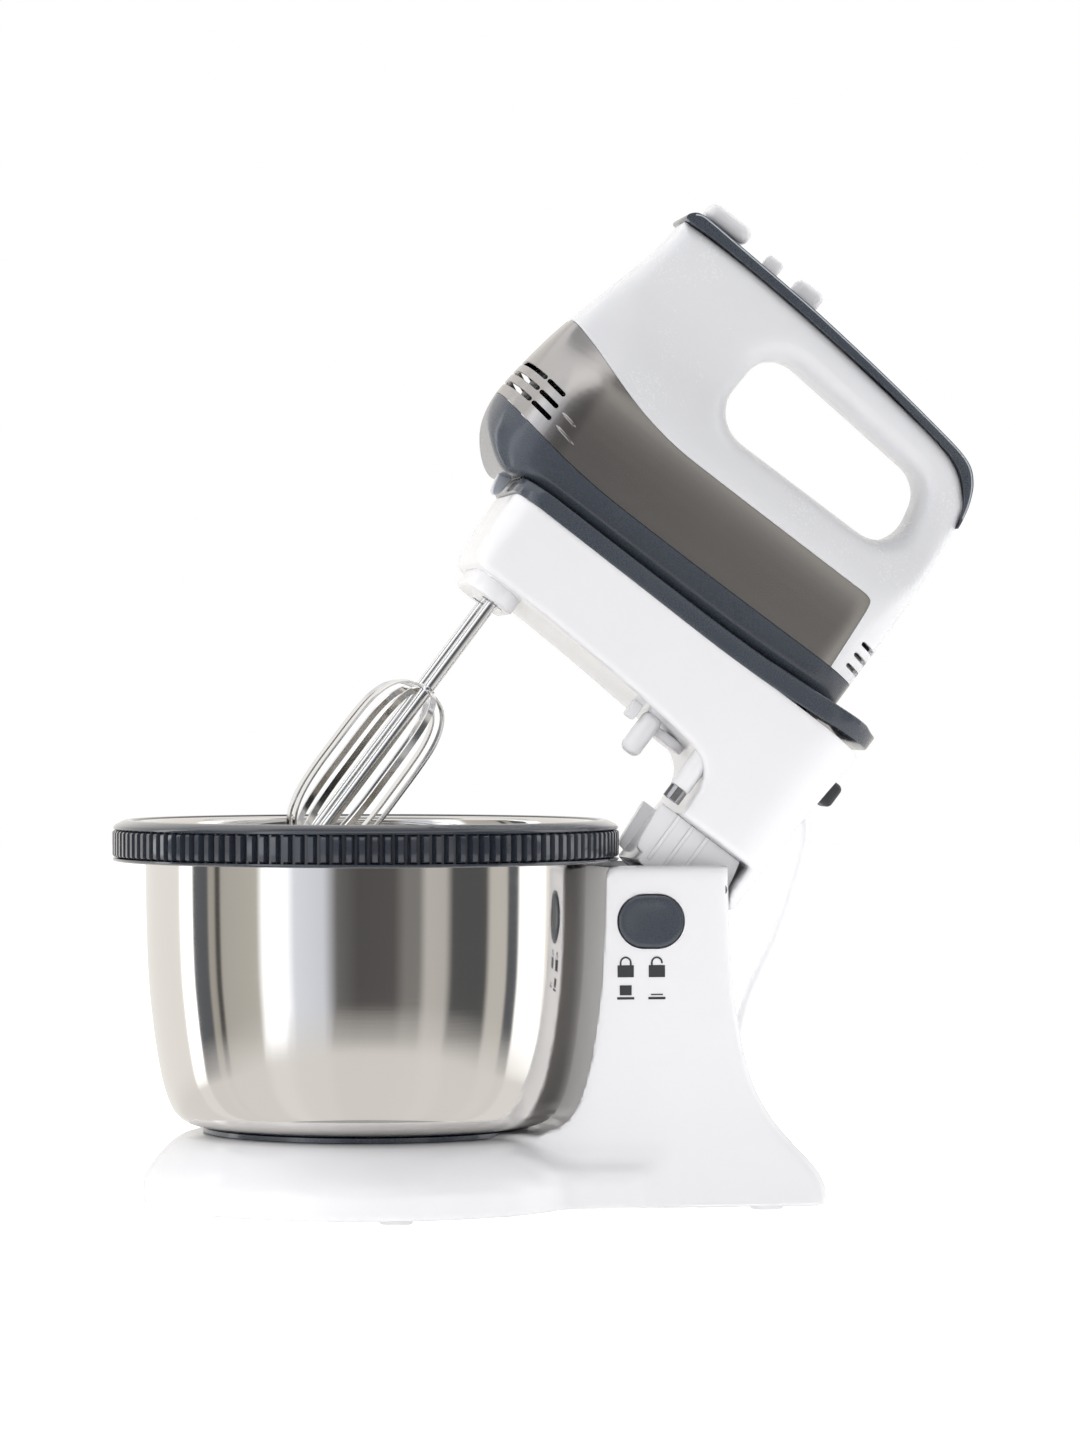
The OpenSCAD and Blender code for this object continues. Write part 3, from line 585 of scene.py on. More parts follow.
SLATE_LINE = spline([(-70, 272), (-50, 264.6), (-36, 260.8), (-20, 257.9), (0, 256), (20, 255.3),
                     (75, 255.3), (165, 256.4)])
STEEL_TOP = [(-75, 322), (-52.6, 314), (-36, 308), (-20, 302), (0, 296), (20, 292.8), (40, 292.2),
             (130, 292.4), (130, 292.4), (133.4, 291.2), (134.6, 287), (134.6, 287), (137.2, 250),
             (137.2, 250), (-75, 250), (-75, 250), (-75, 322), (-75, 322)]
STEEL_ZONE = spline(STEEL_TOP, 5, closed=True)
SIDE = spline([(150, 243.6), (90, 240.6), (-25, 240.6), (-29.6, 238.4), (-34.5, 237.6), (-41, 240.5),
               (-49, 247.5), (-54, 254.5), (-57, 263), (-57.5, 270), (-54.3, 289.5), (-50.6, 310),
               (-46.3, 327), (-40.5, 350), (-36.5, 368), (-35.6, 381), (-35.6, 381), (1.4, 381.2),
               (50.2, 378.5), (106, 373), (124, 370.1), (132.5, 367), (138, 363.2), (142, 359.4),
               (146.4, 354.6), (149.4, 339.5), (150.8, 321), (152, 305), (153, 275), (153, 243.8),
               (153, 243.8)], 4, closed=True)
HALF = [(33, 225), (36.6, 240), (38.8, 252), (39, 262), (38.8, 279), (37.2, 290), (33.8, 301),
        (28.4, 312), (23.2, 323), (19.8, 335), (18.3, 348), (18.3, 430)]
SECTION = spline(HALF, 3)
SECTION = np.concatenate([SECTION, (SECTION * [-1, 1])[::-1]])
HOLE = [(46, 342.6, 16.6), (112.6, 338.4, 16.0), (112.8, 332.6, 17.2), (46.2, 332.2, 17.4)]


def capsule(u, v, a, b, r):
    """Distance from a rounded slot between points a and b."""
    dx, dy = b[0] - a[0], b[1] - a[1]
    t = np.clip(((u - a[0]) * dx + (v - a[1]) * dy) / (dx * dx + dy * dy), 0, 1)
    return np.hypot(u - a[0] - t * dx, v - a[1] - t * dy) - r


def hull_outline(circles, n=12):
    """The outline round circles given counter-clockwise."""
    pts = [(x + r * math.cos(2 * math.pi * k / (4 * n)), z + r * math.sin(2 * math.pi * k / (4 * n)))
           for x, z, r in circles for k in range(4 * n)]
    pts = sorted(set(pts))
    half = []
    for run in (pts, pts[::-1]):
        line = []
        for p in run:
            while len(line) > 1 and ((line[-1][0] - line[-2][0]) * (p[1] - line[-2][1])
                                     <= (line[-1][1] - line[-2][1]) * (p[0] - line[-2][0])):
                line.pop()
            line.append(p)
        half += line[:-1]
    return np.array(half)


HANDLE_HOLE = hull_outline(HOLE)
NOSE_X = -57.5
NOSE_R = 38.9
BAND_HALF = 38.6
# radii of the mixer's edges: side to section, both to plan, and round the hole for the hand
SIDE_EDGE, PLAN_EDGE, GRIP_EDGE = 7, 4, 13


def band_half(x):
    """Half width of the mixer's side at that place on the nose."""
    return BAND_HALF - NOSE_R + math.sqrt(max(NOSE_R**2 - min(0, x - NOSE_X - NOSE_R) ** 2, 0))


def mixer_surface(h):
    """The whole outer form of the mixer: side, section and plan in one, with soft edges."""
    ax = axes_of((-64, 160), (-44, 44), (232, 388), h)
    x2, z2 = np.meshgrid(ax[0], ax[2], indexing="ij")
    form = outline_distance(SIDE, x2, z2)[:, None, :]
    y2, zz = np.meshgrid(ax[1], ax[2], indexing="ij")
    section = outline_distance(SECTION, y2, zz)
    x3, y3 = np.meshgrid(ax[0], ax[1], indexing="ij")
    share = np.clip(np.array([band_half(v) for v in ax[0]]) / BAND_HALF, 0.3, 1)
    reach = np.clip((y3 / share[:, None] - ax[1][0]) / h, 0, len(ax[1]) - 1.001)
    low = reach.astype(int)
    part = (reach - low)[:, :, None]
    section = (section[low] * (1 - part) + section[low + 1] * part) * share[:, None, None]
    plan = outline_distance(rounded(NOSE_X, 153, 39, NOSE_R, 25, 20), x3, y3)[:, :, None]
    hole = outline_distance(HANDLE_HOLE, x2, z2)[:, None, :]
    body = smax(smax(form, section, SIDE_EDGE), plan, PLAN_EDGE)
    return surface(smax(body, -hole, GRIP_EDGE), ax)


WALL = 2.4
SEAM = 0.13
HALVES_GAP = 0.07
form = mixer_surface(1.15 if FINE else 2.0)


def slate_over(x, z):
    """How far a point is above the line where the slate lower body starts."""
    return z - np.interp(x, SLATE_LINE[:, 0], SLATE_LINE[:, 1])


lower = clip(form, lambda x, y, z: -slate_over(x, z) - SEAM)
upper = clip(form, lambda x, y, z: slate_over(x, z) - SEAM)
band = clip(upper, lambda x, y, z: -outline_distance(STEEL_ZONE, x, z) - SEAM)
white = clip(upper, lambda x, y, z: outline_distance(STEEL_ZONE, x, z) - SEAM)
ROWS_FALL = math.tan(math.radians(12))
SLOT_R = 1.15


def slot_height(row, x):
    """Height of the middle of a row of cooling slots on the nose."""
    return 285.6 - 6.1 * row - (x + 58) * ROWS_FALL


def slot_cutter(a, b, lo, hi):
    """A rounded slot between two points of the side view, drawn through the wall from lo to hi."""
    return prism("slot", hull_outline([(*a, SLOT_R), (*b, SLOT_R)], 4), lo, hi, "y", head=True)


def nose_cutters():
    """Two short slots in each of three rows on the nose, sloping down towards the back."""
    return [slot_cutter((x0, slot_height(row, x0)), (x1, slot_height(row, x1)), -60, 60)
            for row in range(3) for x0, x1 in ((-64, -45.2), (-42.4, -34.6 + 0.6 * row))]


band_piece = cut(shell("band", band, 0.9, head=True), nose_cutters())
finish_piece(band_piece, "steel_band_skin", "mixer", "brushed_band", ["steel_band"])
# A near-black block inside the nose, behind the front vent slots. It stands in for the parts inside and keeps
# the far side's slots from showing through, and its near-black colour is painted shade for the dark inside of
# the nose.
shade_baffle = bevel(block("shade_baffle", (-45.5, -43.7), (-24, 24), (258, 300), True), 0.5)
finish_piece(shade_baffle, "grille_shade_baffle", "mixer", "dark_plastic")


def grooves():
    """Bright pressed grooves that carry the lower slot rows on along the band."""
    parts = []
    for row, x1 in ((1, -21.5), (2, -17.5)):
        for end in (-1, 1):
            path = [[x, end * (band_half(x) - 0.05), slot_height(row, x)]
                    for x in np.linspace(-31.2 + 1.2 * row, x1, 9)]
            parts.append(tube("groove", path, [0.25] + [0.75] * 7 + [0.25], 10, head=True))
    return join("grooves", parts)


finish_piece(grooves(), "band_grooves", "mixer", "brushed_band")

for name, body_node, sign in (("left_half", "body_left", 1), ("right_half", "body_right", -1)):
    half = clip(white, lambda x, y, z: sign * y - HALVES_GAP)
    slots = [slot_cutter((143.4, z), (158, z), *sorted((sign * 18, sign * 60)))
             for z in (261.9, 267.9, 273.9)]
    finish_piece(cut(shell(name, half, WALL, head=True), slots), name, "mixer", "white_body", [body_node])

extras = [lathe("boss", [(6.4, 212), (8.6, 212), (9, 212.6), (9, 243.5), (6.4, 243.5)], 64,
                at, head=True) for at in BEATERS]
extras.append(bevel(block("bridge", (-4.5, 0.5), (-BEATER_Y + 8.6, BEATER_Y - 8.6), (214, 241), True), 0.8))
tab = spline([(-27.5, 241), (-27.5, 241), (-28, 231), (-30, 228.8), (-32, 230.5), (-34.5, 240.5),
              (-34.5, 240.5)], 5, closed=True)
tab = bevel(prism("tab", tab, -4, 4, "y", head=True), 0.7)
finish_piece(tab, "front_tab", "mixer", "pale_slate_and_highlight")
lower_piece = cut(shell("lower", lower, WALL, head=True),
                  [rod("bore", at, 6.3, 205, 250, "z", 40, True) for at in BEATERS]
                  + [rod("bore", AUX, 7.3, 236, 246, "z", 40, True),
                     block("catch", (136, 147.5), (-5, 5), (236, 246.5), True)])
lower_piece = join("lower", [lower_piece] + extras)
finish_piece(lower_piece, "lower_shell", "mixer", "slate_plastic", ["lower_body"])

# ---------------------------------------------------------------- handle trim and its buttons

TRIM = spline([(-36, 380.9), (-36.9, 381.9), (-36.2, 384.1), (-33.2, 386.5), (-27.5, 387.2),
               (-5.6, 386.1), (17.7, 385), (41, 383.6), (82.8, 379.6), (120, 375), (131, 373),
               (137.5, 370.2), (142.4, 365.2), (145, 360.4), (147, 355), (148.4, 348.5), (148.9, 344.6),
               (148.9, 344.6), (147.4, 348.6), (145, 354.4), (141.8, 359), (138, 363), (132.5, 366.8),
               (124, 369.9), (106, 372.8), (82.8, 375.8), (50.2, 378.3), (24.7, 380), (1.4, 381),
               (-21.9, 381.4)], 4, closed=True)
trim = bevel(prism("trim", TRIM, -19.2, 19.2, "y", head=True), 1.0, 4, 50)
trim = cut(trim, [bevel(block("eject", (-30.4, -5.9), (-9.4, 9.4), (382, 400), True), 2.8, 4),
                  bevel(block("speed", (4.3, 13.7), (-12.6, 12.6), (383, 400), True), 1.6, 4),
                  bevel(block("turbo", (22.6, 38.4), (-7.4, 7.4), (382, 400), True), 2.8, 4)])
finish_piece(trim, "handle_top_trim", "mixer", "slate_plastic", ["handle_trim"])
# Thin raised beads along both top edges of the handle trim, in the paler slate finish; their paleness is a
# painted highlight along the edges.
lip = spline([(-34.6, 384.6), (-31.6, 386.2), (-27.5, 386.5), (-5.6, 385.4), (17.7, 384.3), (41, 382.9),
              (82.8, 378.9), (120, 374.3), (131, 372.3), (137, 369.6), (141.7, 364.8), (144.4, 360),
              (146.4, 354.8), (148, 348.2)], 4)
highlight_beads = []
for end in (-1, 1):
    path = [[x, end * 18.85, z] for x, z in lip]
    highlight_beads.append(tube("lip", path, [0.1] + [0.5] * (len(path) - 2) + [0.1], 10, head=True))
finish_piece(join("highlight_lips", highlight_beads), "handle_trim_highlight_lips", "mixer", "pale_slate_and_highlight")


def knob(x, y, z, upright, crown):
    """A button with rounded corners, upright wide along its travel, and a crowned top."""
    o = block("cap", x, y, z, True)
    m = bmesh.new()
    m.from_mesh(o.data)
    edges = [e for e in m.edges
             if abs((e.verts[0].co - e.verts[1].co).normalized().dot(Vector(Z_AXIS))) > 0.9]
    bmesh.ops.bevel(m, geom=edges, offset=upright * MM, segments=5, profile=0.5, affect="EDGES")
    m.to_mesh(o.data)
    m.free()
    return bevel(o, crown, 5, 50)


def grip_ribs(x0, x1, y, z, count):
    """Low rounded ribs across the top of a button."""
    parts = []
    for x in x0 + (x1 - x0) * (np.arange(count) + 0.5) / count:
        path = [[x, v, z] for v in np.linspace(-y, y, 7)]
        parts.append(tube("rib", path, [0.2, 0.5, 0.6, 0.6, 0.6, 0.5, 0.2], 8, head=True))
    return parts


eject = [knob((-30, -6.3), (-9, 9), (389.3, 397.4), 5.5, 3.2)]
eject += grip_ribs(-24.5, -11.5, 5.2, 397.25, 4)
eject.append(block("stem", (-20, -13), (-4, 4), (291, 389.6), True))
eject.append(bevel(block("fork", (-20, 1), (-19.5, 19.5), (287, 291.2), True), 0.8))
eject += [rod("rod", at, 2.2, 233.5, 288, "z", 24, True) for at in BEATERS]
finish_piece(join("eject", eject), "eject_knob", "eject", "white_plastic", ["eject_button"])
finish_piece(knob((4.7, 13.3), (-12.2, -3.8), (383.3, 393.1), 2.2, 2.0), "speed_knob", "speed",
             "white_plastic", ["speed_slider"])
turbo = [knob((23, 38), (-7, 7), (384.8, 394.1), 4.5, 2.8)] + grip_ribs(26.5, 34.5, 4, 394, 3)
finish_piece(join("turbo", turbo), "turbo_knob", "turbo", "white_plastic", ["turbo_button"])


def relief_shape():
    """The bend relief where the cord leaves the lower body: a ribbed taper."""
    y0, y1 = 33.0, 60.0
    profile = [(CORD_D / 2 + 0.02, y0), (4, y0), (4, 36.6), (5.4, 36.8), (5.4, 38.6)]
    for k in range(6):
        at = 39.4 + 3.3 * k
        r = 4.4 - 0.22 * k
        profile += [(r - 0.7, at), (r, at + 0.3), (r - 0.1, at + 2.1), (r - 0.8, at + 2.4)]
    profile += [(CORD_D / 2 + 0.3, y1 - 0.4), (CORD_D / 2 + 0.02, y1)]
    return lathe("relief", profile, 32, RELIEF, True, "y")


finish_piece(relief_shape(), "bend_relief", "mixer", "white_cord", ["strain_relief"])

# ---------------------------------------------------------------- head carrier

CARRIER = spline([(-26, 246), (-26, 246), (-26, 232.6), (-22.8, 203), (-20.5, 197), (-17, 195.6),
                  (-17, 195.6), (36, 194.6), (84, 191.8), (100, 190.2), (110.5, 188.2), (117.4, 183.6),
                  (120.8, 177), (121.5, 170), (121.5, 161.2), (121.5, 161.2), (161.4, 161.2),
                  (161.4, 161.2), (161.4, 148), (163.6, 142.4), (166.4, 140.4), (168.4, 143.6),
                  (168.9, 165), (169.6, 190), (171.4, 206), (173.4, 224), (174.5, 246),
                  (174.5, 246)], 4, closed=True)
INNER = np.array([(-23.4, 250), (-20.2, 204), (-18, 198.5), (36, 197.1), (84, 194.3), (100, 192.8),
                  (112, 190.4), (119.4, 185.2), (123.2, 178), (124, 170), (124, 163.7), (166, 163.7),
                  (167, 190), (168.8, 206), (171.4, 250)])
CARRIER_TOP = 232.4


def carrier_surface(h):
    """The carrier's shell: side and plan run together, less its hollow, and flat at its rim."""
    ax = axes_of((-30, 180), (-48, 48), (136, 236), h)
    x2, z2 = np.meshgrid(ax[0], ax[2], indexing="ij")
    x3, y3 = np.meshgrid(ax[0], ax[1], indexing="ij")
    side = outline_distance(CARRIER, x2, z2)[:, None, :]
    plan = outline_distance(rounded(-26, 175, 44, 14, 28, 14), x3, y3)[:, :, None]
    core = outline_distance(INNER, x2, z2)[:, None, :]
    plan_in = outline_distance(rounded(-23.5, 172.5, 41.5, 11.5, 25.5, 14), x3, y3)[:, :, None]
    outer = np.maximum(smax(side, plan, 3.2), ax[2] - CARRIER_TOP)
    return surface(np.maximum(outer, -np.maximum(core, plan_in)), ax)


carrier_o = cut(raw("carrier", *carrier_surface(1.2 if FINE else 2.0), head=True), [
    prism("opening", rounded(-17.3, 7.8, 29.6, 11.7, 11.7, 12), 190, 203, "z", head=True),
    rod("drive", DRIVE, 5.2, 176, 204, "z", 40, True),
    block("catch", (160, 182), (-9.3, 9.3), (206.7, 219.3), True)])
finish_piece(carrier_o, "carrier_skin", "head", "white_plastic", ["carrier_shell"])


def tray(name, outline, low, top, edge):
    """A plate of varying height with rounded edges, from its plan and two lines along x."""
    rings = []
    away = outline - outline.mean(0)
    away /= np.linalg.norm(away, axis=1)[:, None]
    for inset, from_low, lift in ((edge, True, 0), (edge * 0.3, True, edge * 0.3), (0, True, edge),
                                  (0, False, -edge), (edge * 0.3, False, -edge * 0.3), (edge, False, 0)):
        p = outline - away * inset
        line = low if from_low else top
        rings.append(np.column_stack([p, np.interp(p[:, 0], line[:, 0], line[:, 1]) + lift]))
    return raw(name, *grid_mesh(rings, caps=True), head=True)


TRAY_LOW = spline([(-27, CARRIER_TOP), (40, 231.6), (90, 231), (120, 232), (150, 234.4), (176, 237.2)], 6)
TRAY_TOP = spline([(-27, 240), (60, 239.9), (90, 240), (120, 241), (150, 243.6), (166, 245), (170, 244),
                   (176, 244.8)], 6)


def fine_outline(outline):
    """The same outline with a point at least every 3 mm."""
    out = []
    for a, b in zip(outline, np.roll(outline, -1, 0)):
        n = max(1, int(math.ceil(np.linalg.norm(b - a) / 3)))
        out += [a + (b - a) * k / n for k in range(n)]
    return np.array(out)


tray_o = tray("tray", fine_outline(rounded(-26.6, 175.6, 44.6, 14.6, 28.6, 14)), TRAY_LOW, TRAY_TOP, 1.1)
tray_o = cut(tray_o, [prism("opening", rounded(-20, 18, 31, 10, 10), 222, 262, "z", head=True),
                      rod("aux", AUX, 8, 222, 262, "z", 40, True),
                      block("catch", (136, 150), (-6, 6), (222, 262), True)])
finish_piece(tray_o, "carrier_tray", "head", "slate_plastic", ["carrier_trim"])

collar = bevel(prism("collar", rounded(-17.2, 7.7, 29.5, 11.6, 11.6, 12), 187.6, 200.8, "z", head=True),
               1.6, 4)
for at in BEATERS:
    collar = cut(collar, [rod("bore", at, 5.4, 180, 210, "z", 40, True),
                          rod("bore", at, 9.5, 191, 210, "z", 40, True)])
finish_piece(collar, "collar_skin", "head", "white_plastic", ["beater_collar"])


def tongue_shape():
    """Two ribbed cheeks and their cross webs, with the lugs that the hinge pin goes through."""
    cheek = spline([(113.2, 161.2), (113.2, 161.2), (114.3, 150), (115.2, 141), (116.4, 138.4),
                    (119.5, 137.6), (119.5, 137.6), (119.5, 134.4), (121, 133.5), (130, 133.5),
                    (146, 138.5), (152, 140), (160.2, 146), (160.5, 150), (158, 161.2),
                    (158, 161.2)], 4, closed=True)
    bored = [bevel(rod("lug", HINGE, 4.7, *y, "y", 48, True), 0.5, 3) for y in ((-35.5, -24), (24, 35.5))]
    parts = []
    for y0 in (-29, 24):
        bored.append(bevel(prism("cheek", cheek, y0, y0 + 5, "y", head=True), 0.7, 3))
        for x, lift in ((123.2, 137), (131, 138), (139.4, 140.5)):
            y = (y0 - 1.1, y0 + 0.2) if y0 < 0 else (y0 + 4.8, y0 + 6.1)
            parts.append(bevel(block("rib", (x - 0.9, x + 0.9), y, (lift, 161), True), 0.4, 2))
    for x0, x1, z in ((119.5, 123, 133.8), (131, 133, 141), (141, 143, 146)):
        parts.append(bevel(block("web", (x0, x1), (-24.4, 24.4), (z, 161.2), True), 0.5, 3))
    for p in bored:
        cut(p, [rod("bore", HINGE, 3.05, -60, 60, "y", 40, True)])
    return join("tongue", bored + parts)


finish_piece(tongue_shape(), "tongue_skin", "head", "white_plastic", ["hinge_tongue"])

finger = bevel(rod("finger", (88.6, -14), 5, 171, 192.4, "z", 40, True), 3.6, 6)
lug = bevel(block("lug", (76.4, 81.6), (-17, -11), (184, 192.6), True), 1.2, 4)
finish_piece(join("finger", [finger, lug]), "finger_skin", "head", "white_plastic", ["guide_finger"])
post = bevel(lathe("post", [(2.55, 170.6), (4.8, 170.6), (4.8, 200), (2.55, 200)], 48, DRIVE, True), 0.7, 3)
drum = bevel(rod("drum", (101, -3), 9, 185, 189.6, "z", 64, True), 1.2, 4)
finish_piece(join("housing", [post, drum]), "housing_skin", "head", "white_plastic", ["drive_housing"])

key = [bevel(block("cap", (171.6, 179.9), (-9, 9), (207, 219), True), 2.8, 5)]
key += [block("arm", x, (-4, 4), z, True) for x, z in (((141, 172), (211, 215)), ((141, 145), (214.8, 240)),
                                                       ((138.5, 145), (240, 243)))]
finish_piece(join("key", key), "mixer_release_key", "mixer_release", "dark_plastic",
             ["mixer_release_button"])

# ---------------------------------------------------------------- springs


def coil_spring(name, node, body, radius, wire, turns, start, along, length):
    """A compression spring with closed ends, in place of the CAD's plain sleeve."""
    start, along = np.array(start, float), np.array(along, float)
    u = np.cross(along, [0.31, 0.42, 0.85])
    u /= np.linalg.norm(u)
    v = np.cross(along, u)
    steps = int(turns * 20)
    path = []
    for k in range(steps + 1):
        t = k / steps
        rise = wire + (length - 2 * wire) * min(1, max(0, (t - 1 / turns) / (1 - 2 / turns)))
        a = 2 * math.pi * turns * t
        path.append(start + along * rise + (radius - wire) * (math.cos(a) * u + math.sin(a) * v))
    o = tube(name, path, [wire] * len(path), 8)
    return finish_piece(o, name, body, "steel_parts", [node])


coil_spring("release_coil", "release_spring", "base", 3.0, 0.35, 8, (124, -30.4, 120.7), (0, 1, 0), 20.3)
coil_spring("catch_coil", "mixer_release_spring", "head", 6.5, 0.4, 5, opened([150.1, 0, 213]), X_AXIS,
            13.8)
coil_spring("eject_coil", "eject_spring", "mixer", 6.8, 0.45, 4, opened([-16.5, 0, 382.2]), Z_AXIS, 6.9)
coil_spring("turbo_coil", "turbo_spring", "mixer", 4.0, 0.35, 3, opened([30.5, 0, 382]), Z_AXIS, 2.7)

# ---------------------------------------------------------------- beaters


def beater(name, sign, turn, body, node):
    """Four flat strips bent round a cage, with a hub below and a crimped sleeve at the shaft."""
    low, at = 50.0, (BEATER_X, sign * BEATER_Y)
    cage = spline([(2.6, 0.4), (7, 0.7), (12, 3.2), (16.4, 9), (19.2, 18), (20.4, 30), (20.5, 44),
                   (20.3, 60), (19.4, 71), (16.6, 79.6), (11.8, 85.2), (6, 87.6), (2.4, 87.9)], 5)
    parts = []
    thick, wide = 0.55, 1.65
    section = [(thick * math.cos(a), wide * math.sin(a)) for a in np.linspace(0, 2 * math.pi, 17)[:-1]]
    section = [(math.copysign(min(abs(u) * 1.5, thick), u), math.copysign(min(abs(v) * 1.25, wide), v))
               for u, v in section]
    for i in range(4):
        a = math.radians(turn + 90 * i)
        out, round_ = np.array([math.cos(a), math.sin(a), 0]), np.array([-math.sin(a), math.cos(a), 0])
        line = np.array([out * r + np.array([0, 0, z]) for r, z in cage])
        tangent = np.gradient(line, axis=0)
        tangent /= np.linalg.norm(tangent, axis=1)[:, None]
        rings = np.array([[p + u * np.cross(round_, w) + v * round_ for u, v in section]
                          for p, w in zip(line, tangent)]) + [*at, low]
        parts.append(raw("strip", *grid_mesh(rings, caps=True), head=True))
    shaft = [(0.02, low - 0.2), (2.3, low - 0.2), (2.7, low + 0.4), (2.75, 160), (2.75, 222),
             (2.6, 226), (1.9, 230.5), (0.02, 231)]
    parts.append(lathe("shaft", shaft, 32, at, True))
    parts.append(lathe("hub", [(0.02, low), (3.6, low), (4, low + 0.5), (4, low + 1.3), (0.02, low + 2)],
                       32, at, True))
    parts.append(lathe("sleeve", [(2.7, 137.4), (3.7, 137.6), (3.9, 138.4), (3.7, 139.4), (2.7, 139.8)],
                       32, at, True))
    return finish_piece(join(name, parts), name, body, "beater_chrome", [node])


beater("beater_near", -1, 20, "beater_r", "beater_right")
beater("beater_far", 1, 25, "beater_l", "beater_left")

# ---------------------------------------------------------------- bowl and its ring

WALL_LINE = spline([(0, 0), (66, 0), (76, 0.6), (82, 2.4), (86.4, 6), (89.4, 11.4), (92.2, 20),
                    (94.4, 31), (96.6, 46), (98.6, 66), (99.6, 90), (100, 120), (100, 136)], 6)


def bowl_shape():
    """The spun bowl: two walls a millimetre apart and a rolled rim."""
    outer = [(max(r, 0.02), z + BOWL_Z) for r, z in WALL_LINE]
    inner = [(max(r - 1, 0.02), max(z + 0.4, 1) + BOWL_Z) for r, z in WALL_LINE]
    rim = [(100, RING_HI - 3.4), (101.4, RING_HI - 2.2), (104.2, RING_HI - 1.9), (105.4, RING_HI - 1.2),
           (104.4, RING_HI - 0.6), (101, RING_HI - 0.8), (99.4, RING_HI - 2)]
    return lathe("bowl", outer + rim + inner[::-1], 240)


finish_piece(bowl_shape(), "bowl_skin", "bowl", "polished_steel", ["bowl"], 50)


def ring_shape():
    """The ring round the rim: a plain band above a row of upright rounded teeth and a thin lip."""
    teeth, per_tooth = 128, 10
    lo, hi, tooth = RING_LO, RING_HI, 3.2
    n = teeth * per_tooth
    phase = (np.arange(n) % per_tooth) / per_tooth
    wave = np.interp(phase, [0, 0.14, 0.22, 0.3, 0.7, 0.78, 0.86, 1], [0, 0, 0.7, 1, 1, 0.7, 0, 0])
    flat = np.ones(n)
    rows = [(flat * 100.05, lo), (flat * 113.6, lo), (flat * 114.6, lo + 0.3), (flat * 115, lo + 0.8),
            (flat * 114.8, lo + 1.5)]
    for z, share in ((lo + 1.8, 0), (lo + 2.2, 0.8), (lo + 3, 1), (hi - 5.6, 1), (hi - 4.9, 0.8),
                     (hi - 4.5, 0)):
        rows.append((115 - tooth + tooth * wave * share - 0.25 * (1 - wave), z))
    rows += [(flat * 114.2, hi - 4.3), (flat * 114.6, hi - 3.9), (flat * 114.5, hi - 3.1),
             (flat * 113.6, hi - 2.1), (flat * 110.4, hi - 0.5), (flat * 108.9, hi),
             (flat * 107.2, hi - 0.05), (flat * 106.4, hi - 0.7), (flat * 106.2, hi - 2.9),
             (flat * 100.05, hi - 3.6)]
    c, s = circle(n)
    rings = np.array([np.stack([r * c, r * s, np.full(n, z)], 1) for r, z in rows])
    return raw("ring", *grid_mesh(rings, loop=True))


finish_piece(ring_shape(), "ring_skin", "bowl", "slate_ring", ["bowl_ring"], 50)

# ---------------------------------------------------------------- stand

FOOT_H = 2.2
TOWER_TOP = 156.3
PLATFORM = spline([(-1, 34.4), (78.4, 34.4), (78.4, 34.4), (80.4, 34), (84, 32.8), (89, 29.4),
                   (94.3, 23.8), (98.6, 18.2), (100.6, 14.4), (101, 12.6), (101, FOOT_H),
                   (101, FOOT_H), (-1, FOOT_H), (-1, FOOT_H), (-1, 34.4)], 4, closed=True)
TOWER_SIDE = spline([(30, -8), (30, -8), (203, -8), (203, -8), (203.4, 2), (203.8, 8), (202, 14.6),
                     (197, 21.6), (189, 30.2), (180, 41), (172.6, 54), (167.4, 71), (164, 90), (161.8, 112),
                     (160.6, 135), (160.2, TOWER_TOP), (160.2, TOWER_TOP), (30, TOWER_TOP),
                     (30, TOWER_TOP)], 5, closed=True)
FRONT = spline([(54.4, -8), (53.6, 2), (51.5, 20), (48.8, 40), (46.8, 60), (45.4, 90), (45, 125),
                (45, 170)], 5)
FRONT = np.concatenate([FRONT, (FRONT * [-1, 1])[::-1]])
CRADLE = [(0, 34.4), (87, 34.4), (89, 37), (94, 38.6), (98, 42), (101.2, 48), (104, 57), (106.2, 68),
          (108.4, 83), (110.4, 103), (111.4, 127), (112, 157), (112, 190), (0, 190)]


def stand_surface(h):
    """Round platform, flared tower and the hollow for the bowl, run together with soft fillets."""
    ax = axes_of((-106, 208), (-106, 106), (0, 160), h)
    _, y, z = np.meshgrid(*ax, indexing="ij", sparse=True)
    x3, y3 = np.meshgrid(ax[0], ax[1], indexing="ij")
    r3 = np.hypot(x3, y3)
    reach = np.arange(0, 240, h)
    r2, z2 = np.meshgrid(reach, ax[2], indexing="ij")

    def turned(outline):
        """The field of an outline turned about the bowl's axis."""
        field = outline_distance(np.array(outline), r2, z2)
        low = np.clip((r3 / h).astype(int), 0, len(reach) - 2)
        part = np.clip(r3 / h - low, 0, 1)[:, :, None]
        return field[low] * (1 - part) + field[low + 1] * part

    x2, zz = np.meshgrid(ax[0], ax[2], indexing="ij")
    side = outline_distance(TOWER_SIDE, x2, zz)[:, None, :]
    y2, zy = np.meshgrid(ax[1], ax[2], indexing="ij")
    front = outline_distance(FRONT, y2, zy)[None, :, :]
    hollow = turned(CRADLE)
    tower = smax(smax(side, front, 7), -hollow, 3)
    neck_plan = np.hypot(np.maximum(np.abs(x3 - 84) - 30, 0), np.maximum(np.abs(y3) - 48, 0))[:, :, None]
    neck = smax(neck_plan - 8, z - 22 + 0.10 * np.abs(y), 6)
    f = smin(smin(turned(PLATFORM), tower, 7), smax(neck, -hollow, 3), 16)
    return surface(np.maximum(smax(f, z - TOWER_TOP, 3.0), FOOT_H - z), ax)


BUTTON = (124.0, 130.7)


